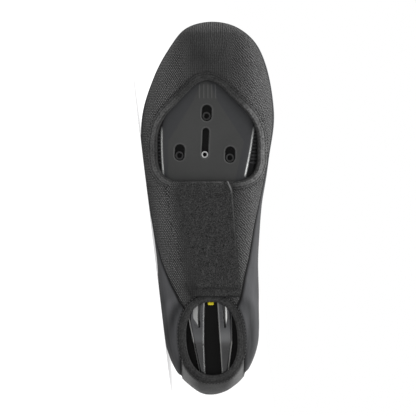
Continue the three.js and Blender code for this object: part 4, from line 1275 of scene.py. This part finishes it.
# Ring turned about its axis from a rounded profile of radius and height above its foot.
def makeRing(name, place, size, slot, node):
    c, lip = 0.3, size.get("lip", 0)
    outer, bore, height = size["outer"], size["bore"], size["height"]
    profile = np.array([
        (bore, 0), (outer - c, 0), (outer, c), (outer, height - c), (outer + lip, height - c),
        (outer + lip, height - c * 0.3), (outer + lip - c, height), (bore + c, height), (bore, height - c),
    ])
    turn = np.linspace(0, full, 64, endpoint=False)[:, None]
    radius, up = profile[:, 0], profile[:, 1]
    points = np.stack([place[0] + radius * np.cos(turn), place[1] + radius * np.sin(turn),
                       place[2] + height / 2 - up + 0 * turn], -1)
    quads = gridLoops(len(turn), len(profile), closeRows=True, closeColumns=True)
    piece = quadPiece(name, toWorld(points) / perMetre, quads, slot, sharp=35)
    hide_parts(node)


makeRing("grommet_ring", grommetPlace, grommet, "bright_steel", "centre_grommet")
for hole in cleatHoles:
    makeRing("nut_ring_" + hole, nutPlace(hole), nut, "dark_steel", "cleat_nut_" + hole)


# Inlay: a small block whose plan is a superellipse, narrowed at its top and foot.
def makeInlay():
    turn = np.linspace(0, full, 48, endpoint=False)[:, None]
    level = np.array([0, 0.0, 0.06, 0.5, 0.94, 1.0, 1.0])
    size = np.array([0.0, 0.9, 1.0, 1.0, 1.0, 0.9, 0.0])
    x, y = (inlay[side] / 2 * trim * size * np.sign(wave) * np.abs(wave) ** inlay["squareness"]
            for side, trim, wave in zip(("width", "length"), inlay["trim"], (np.cos(turn), np.sin(turn))))
    points = np.stack([inlayPlace[0] + x, inlayPlace[1] + y,
                       inlayPlace[2] + inlay["height"] * (0.5 - level) + 0 * turn], -1)
    quads = gridLoops(len(turn), len(level), closeRows=True)
    piece = quadPiece("inlay_block", toWorld(points) / perMetre, quads, "yellow_plastic", sharp=40)
    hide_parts("groove_inlay")


makeInlay()
print("small parts made")


stitch = {  # pitch, length and radius in mm
    "tape": (2.2, 1.5, 0.2), "edge": (2.5, 1.3, 0.22), "panel": (2.0, 1.3, 0.22), "hem": (2.4, 1.7, 0.2),
}


# Row of stitches: one rounded thread, six-sided, set at even steps along a line on the skin.
def makeStitches(name, points, normals, kind, tilt=0.0, look="thread"):
    pitch, length, radius = stitch[kind]
    run = arcAlong(points, 0)
    at = np.arange(pitch / 2, run[-1], pitch)

    def lineAt(values, where):
        return np.stack([np.interp(where, run, values[:, k]) for k in range(3)], -1)

    centre, normal = lineAt(points, at), lineAt(normals, at)
    ahead = lineAt(points, at + 0.2) - lineAt(points, at - 0.2)
    ahead /= np.linalg.norm(ahead, axis=1, keepdims=True)
    normal /= np.linalg.norm(normal, axis=1, keepdims=True)
    lean = np.where(np.arange(len(at)) % 2 == 0, tilt, -tilt)[:, None]
    axis = ahead * np.cos(lean) + np.cross(ahead, normal) * np.sin(lean)
    cross = np.cross(axis, normal)
    t = np.array([-1, -0.8, 0, 0.8, 1])[:, None]
    thick = np.array([0.0, 0.75, 1, 0.75, 0.0])[:, None] * radius
    turn = np.linspace(0, full, 6, endpoint=False)[None, :]
    parts = ((axis, t * length / 2), (cross, thick * np.cos(turn)),
             (normal, thick * np.sin(turn) + radius * 0.35 * (1 - t ** 2)))
    body = sum(vector[:, None, None] * reach[None, ..., None] for vector, reach in parts)
    vertices = (centre[:, None, None] + body).reshape(-1, 3)
    one = gridLoops(t.size, turn.size, closeColumns=True)
    quads = (one[None] + (np.arange(len(at)) * t.size * turn.size)[:, None, None]).reshape(-1, 4)
    quadPiece(name, lieDown(vertices) / perMetre, quads, "edge_tape", look=look, merge=1e-7)


# Closed line round an opening, so far outside it and so high over the underside, with its normals.
def ringPath(outline, out, rise):
    line = outline + outlineNormals(outline) * out
    closed = np.vstack([line, line[:1]])
    return raised(closed[:, 0], closed[:, 1], rise)


# Line of stitches a little inside the heel panel's edge, in three pieces: the crossing points of its inset
# outline on both charts, in order round the panel at the back and along each side of the underside.
def heelSeams():
    inset, frontEnd, centreHeight = 1.6, -112, 22
    paths = {}
    for chart, field, isUnder in ((sideChart, heelSide, False), (underChart, heelUnder, True)):
        lifted = chart["points"] + chart["normals"] * (foldHeight(chart["points"])[..., None] - 0.1)
        channels = np.concatenate([lifted, chart["normals"]], -1)
        found = cutGrid(channels, field - inset)[0][field.size:]
        across = found[:, 0] - heelMiddle
        if isUnder:
            for name, side in (("outer", 1), ("inner", -1)):
                edge = found[(side * across > heelHalf - 3) & (found[:, 1] < frontEnd)]
                paths[name] = edge[np.argsort(edge[:, 1])]
        else:
            paths["back"] = found[np.argsort(np.arctan2(across, found[:, 2] - centreHeight))]
    return paths


def makeAllStitches():
    tapes = (("cleat", cleatLine, tape["cleatWidth"], "dark_thread"),
             ("heel", heelLine, tape["heelWidth"], "thread"))
    for name, line, width, edgeLook in tapes:
        path = ringPath(line, width - tape["stitchInset"], shoe["gap"] + tape["thickness"] - 0.1)
        makeStitches("stitches_" + name + "_tape", *path, "tape", look="dark_thread")
        makeStitches("stitches_" + name + "_edge", *ringPath(line, width + 0.6, 0.5), "edge", 0.5, edgeLook)
    for part, found in heelSeams().items():
        makeStitches("stitches_heel_panel_" + part, found[:, :3], found[:, 3:], "panel")
    x = np.linspace(flap["lateral"][-1] * halfBall + 2.5, flap["medial"][-1] * halfBall + 1.5, 60)
    y = np.full_like(x, flap["y"][-1] * halfLength + flap["hemWidth"] - flap["stitchInset"])
    rise = flap["lift"] + tape["thickness"] + shoe["gap"] + flap["thickness"] + flap["hemStep"]
    makeStitches("stitches_flap_hem", *raised(x, y, rise), "tape", look="dark_thread")
    angle = np.linspace(0, full, 400)
    for k, back in enumerate((0.925, 0.94)):
        v = np.full_like(angle, back)
        normals = skinNormal(angle, v)
        points = skin(angle, v) + normals * (cover["hemStep"] - 0.1)
        makeStitches(f"stitches_collar_{k}", points, normals, "hem")


makeAllStitches()
print("stitches made")


light = {"floor": 0.38, "glow": 0.6, "sky": 1.0, "aim": (0, 0, 0.05), "floorReach": 14.0}
lamps = {  # place, size and power
    "key": ((0.0, -0.35, 1.3), 1.1, 24.0), "fill": ((-0.4, -1.7, 0.8), 1.4, 0.8),
    "rim": ((0.5, 0.9, 1.2), 1.0, 3.0),
}


# Plain pale floor that runs out of sight
def makeFloor():
    mesh = bpy.data.meshes.new("floor")
    reach = light["floorReach"]
    corners = [(x * reach, y * reach, 0) for x, y in ((-1, -1), (1, -1), (1, 1), (-1, 1))]
    mesh.from_pydata(corners, [], [(0, 1, 2, 3)])
    floor = addObject("floor", mesh)
    paint = Paint("floor", Roughness=0.8, Emission_Color=grey(1.0), Emission_Strength=light["glow"])
    paint.shader.inputs["Base Color"].default_value = grey(light["floor"])
    mesh.materials.append(paint.material)


# Square soft light that looks from its place at the aim
def addLight(name, place, size, power):
    data = bpy.data.lights.new(name, "AREA")
    data.shape, data.size, data.energy = "SQUARE", size, power
    away = np.array(place) - np.array(light["aim"])
    away = away / np.linalg.norm(away)
    right = np.cross([0.0, 1.0, 0.01] if abs(away[2]) > 0.95 else [0.0, 0.0, 1.0], away)
    right = right / np.linalg.norm(right)
    addObject(name, data).matrix_world = axesMatrix(right, np.cross(away, right), away, place)


def makeLights():
    for name, lamp in lamps.items():
        addLight(name, *lamp)
    world = bpy.data.worlds.new("sky")
    world.use_nodes = True
    sky = world.node_tree.nodes["Background"].inputs
    sky["Color"].default_value, sky["Strength"].default_value = (1, 1, 1, 1), light["sky"]
    bpy.context.scene.world = world
    bpy.context.scene.view_settings.view_transform = "Standard"


makeFloor()
makeLights()
print("stage and lights made")
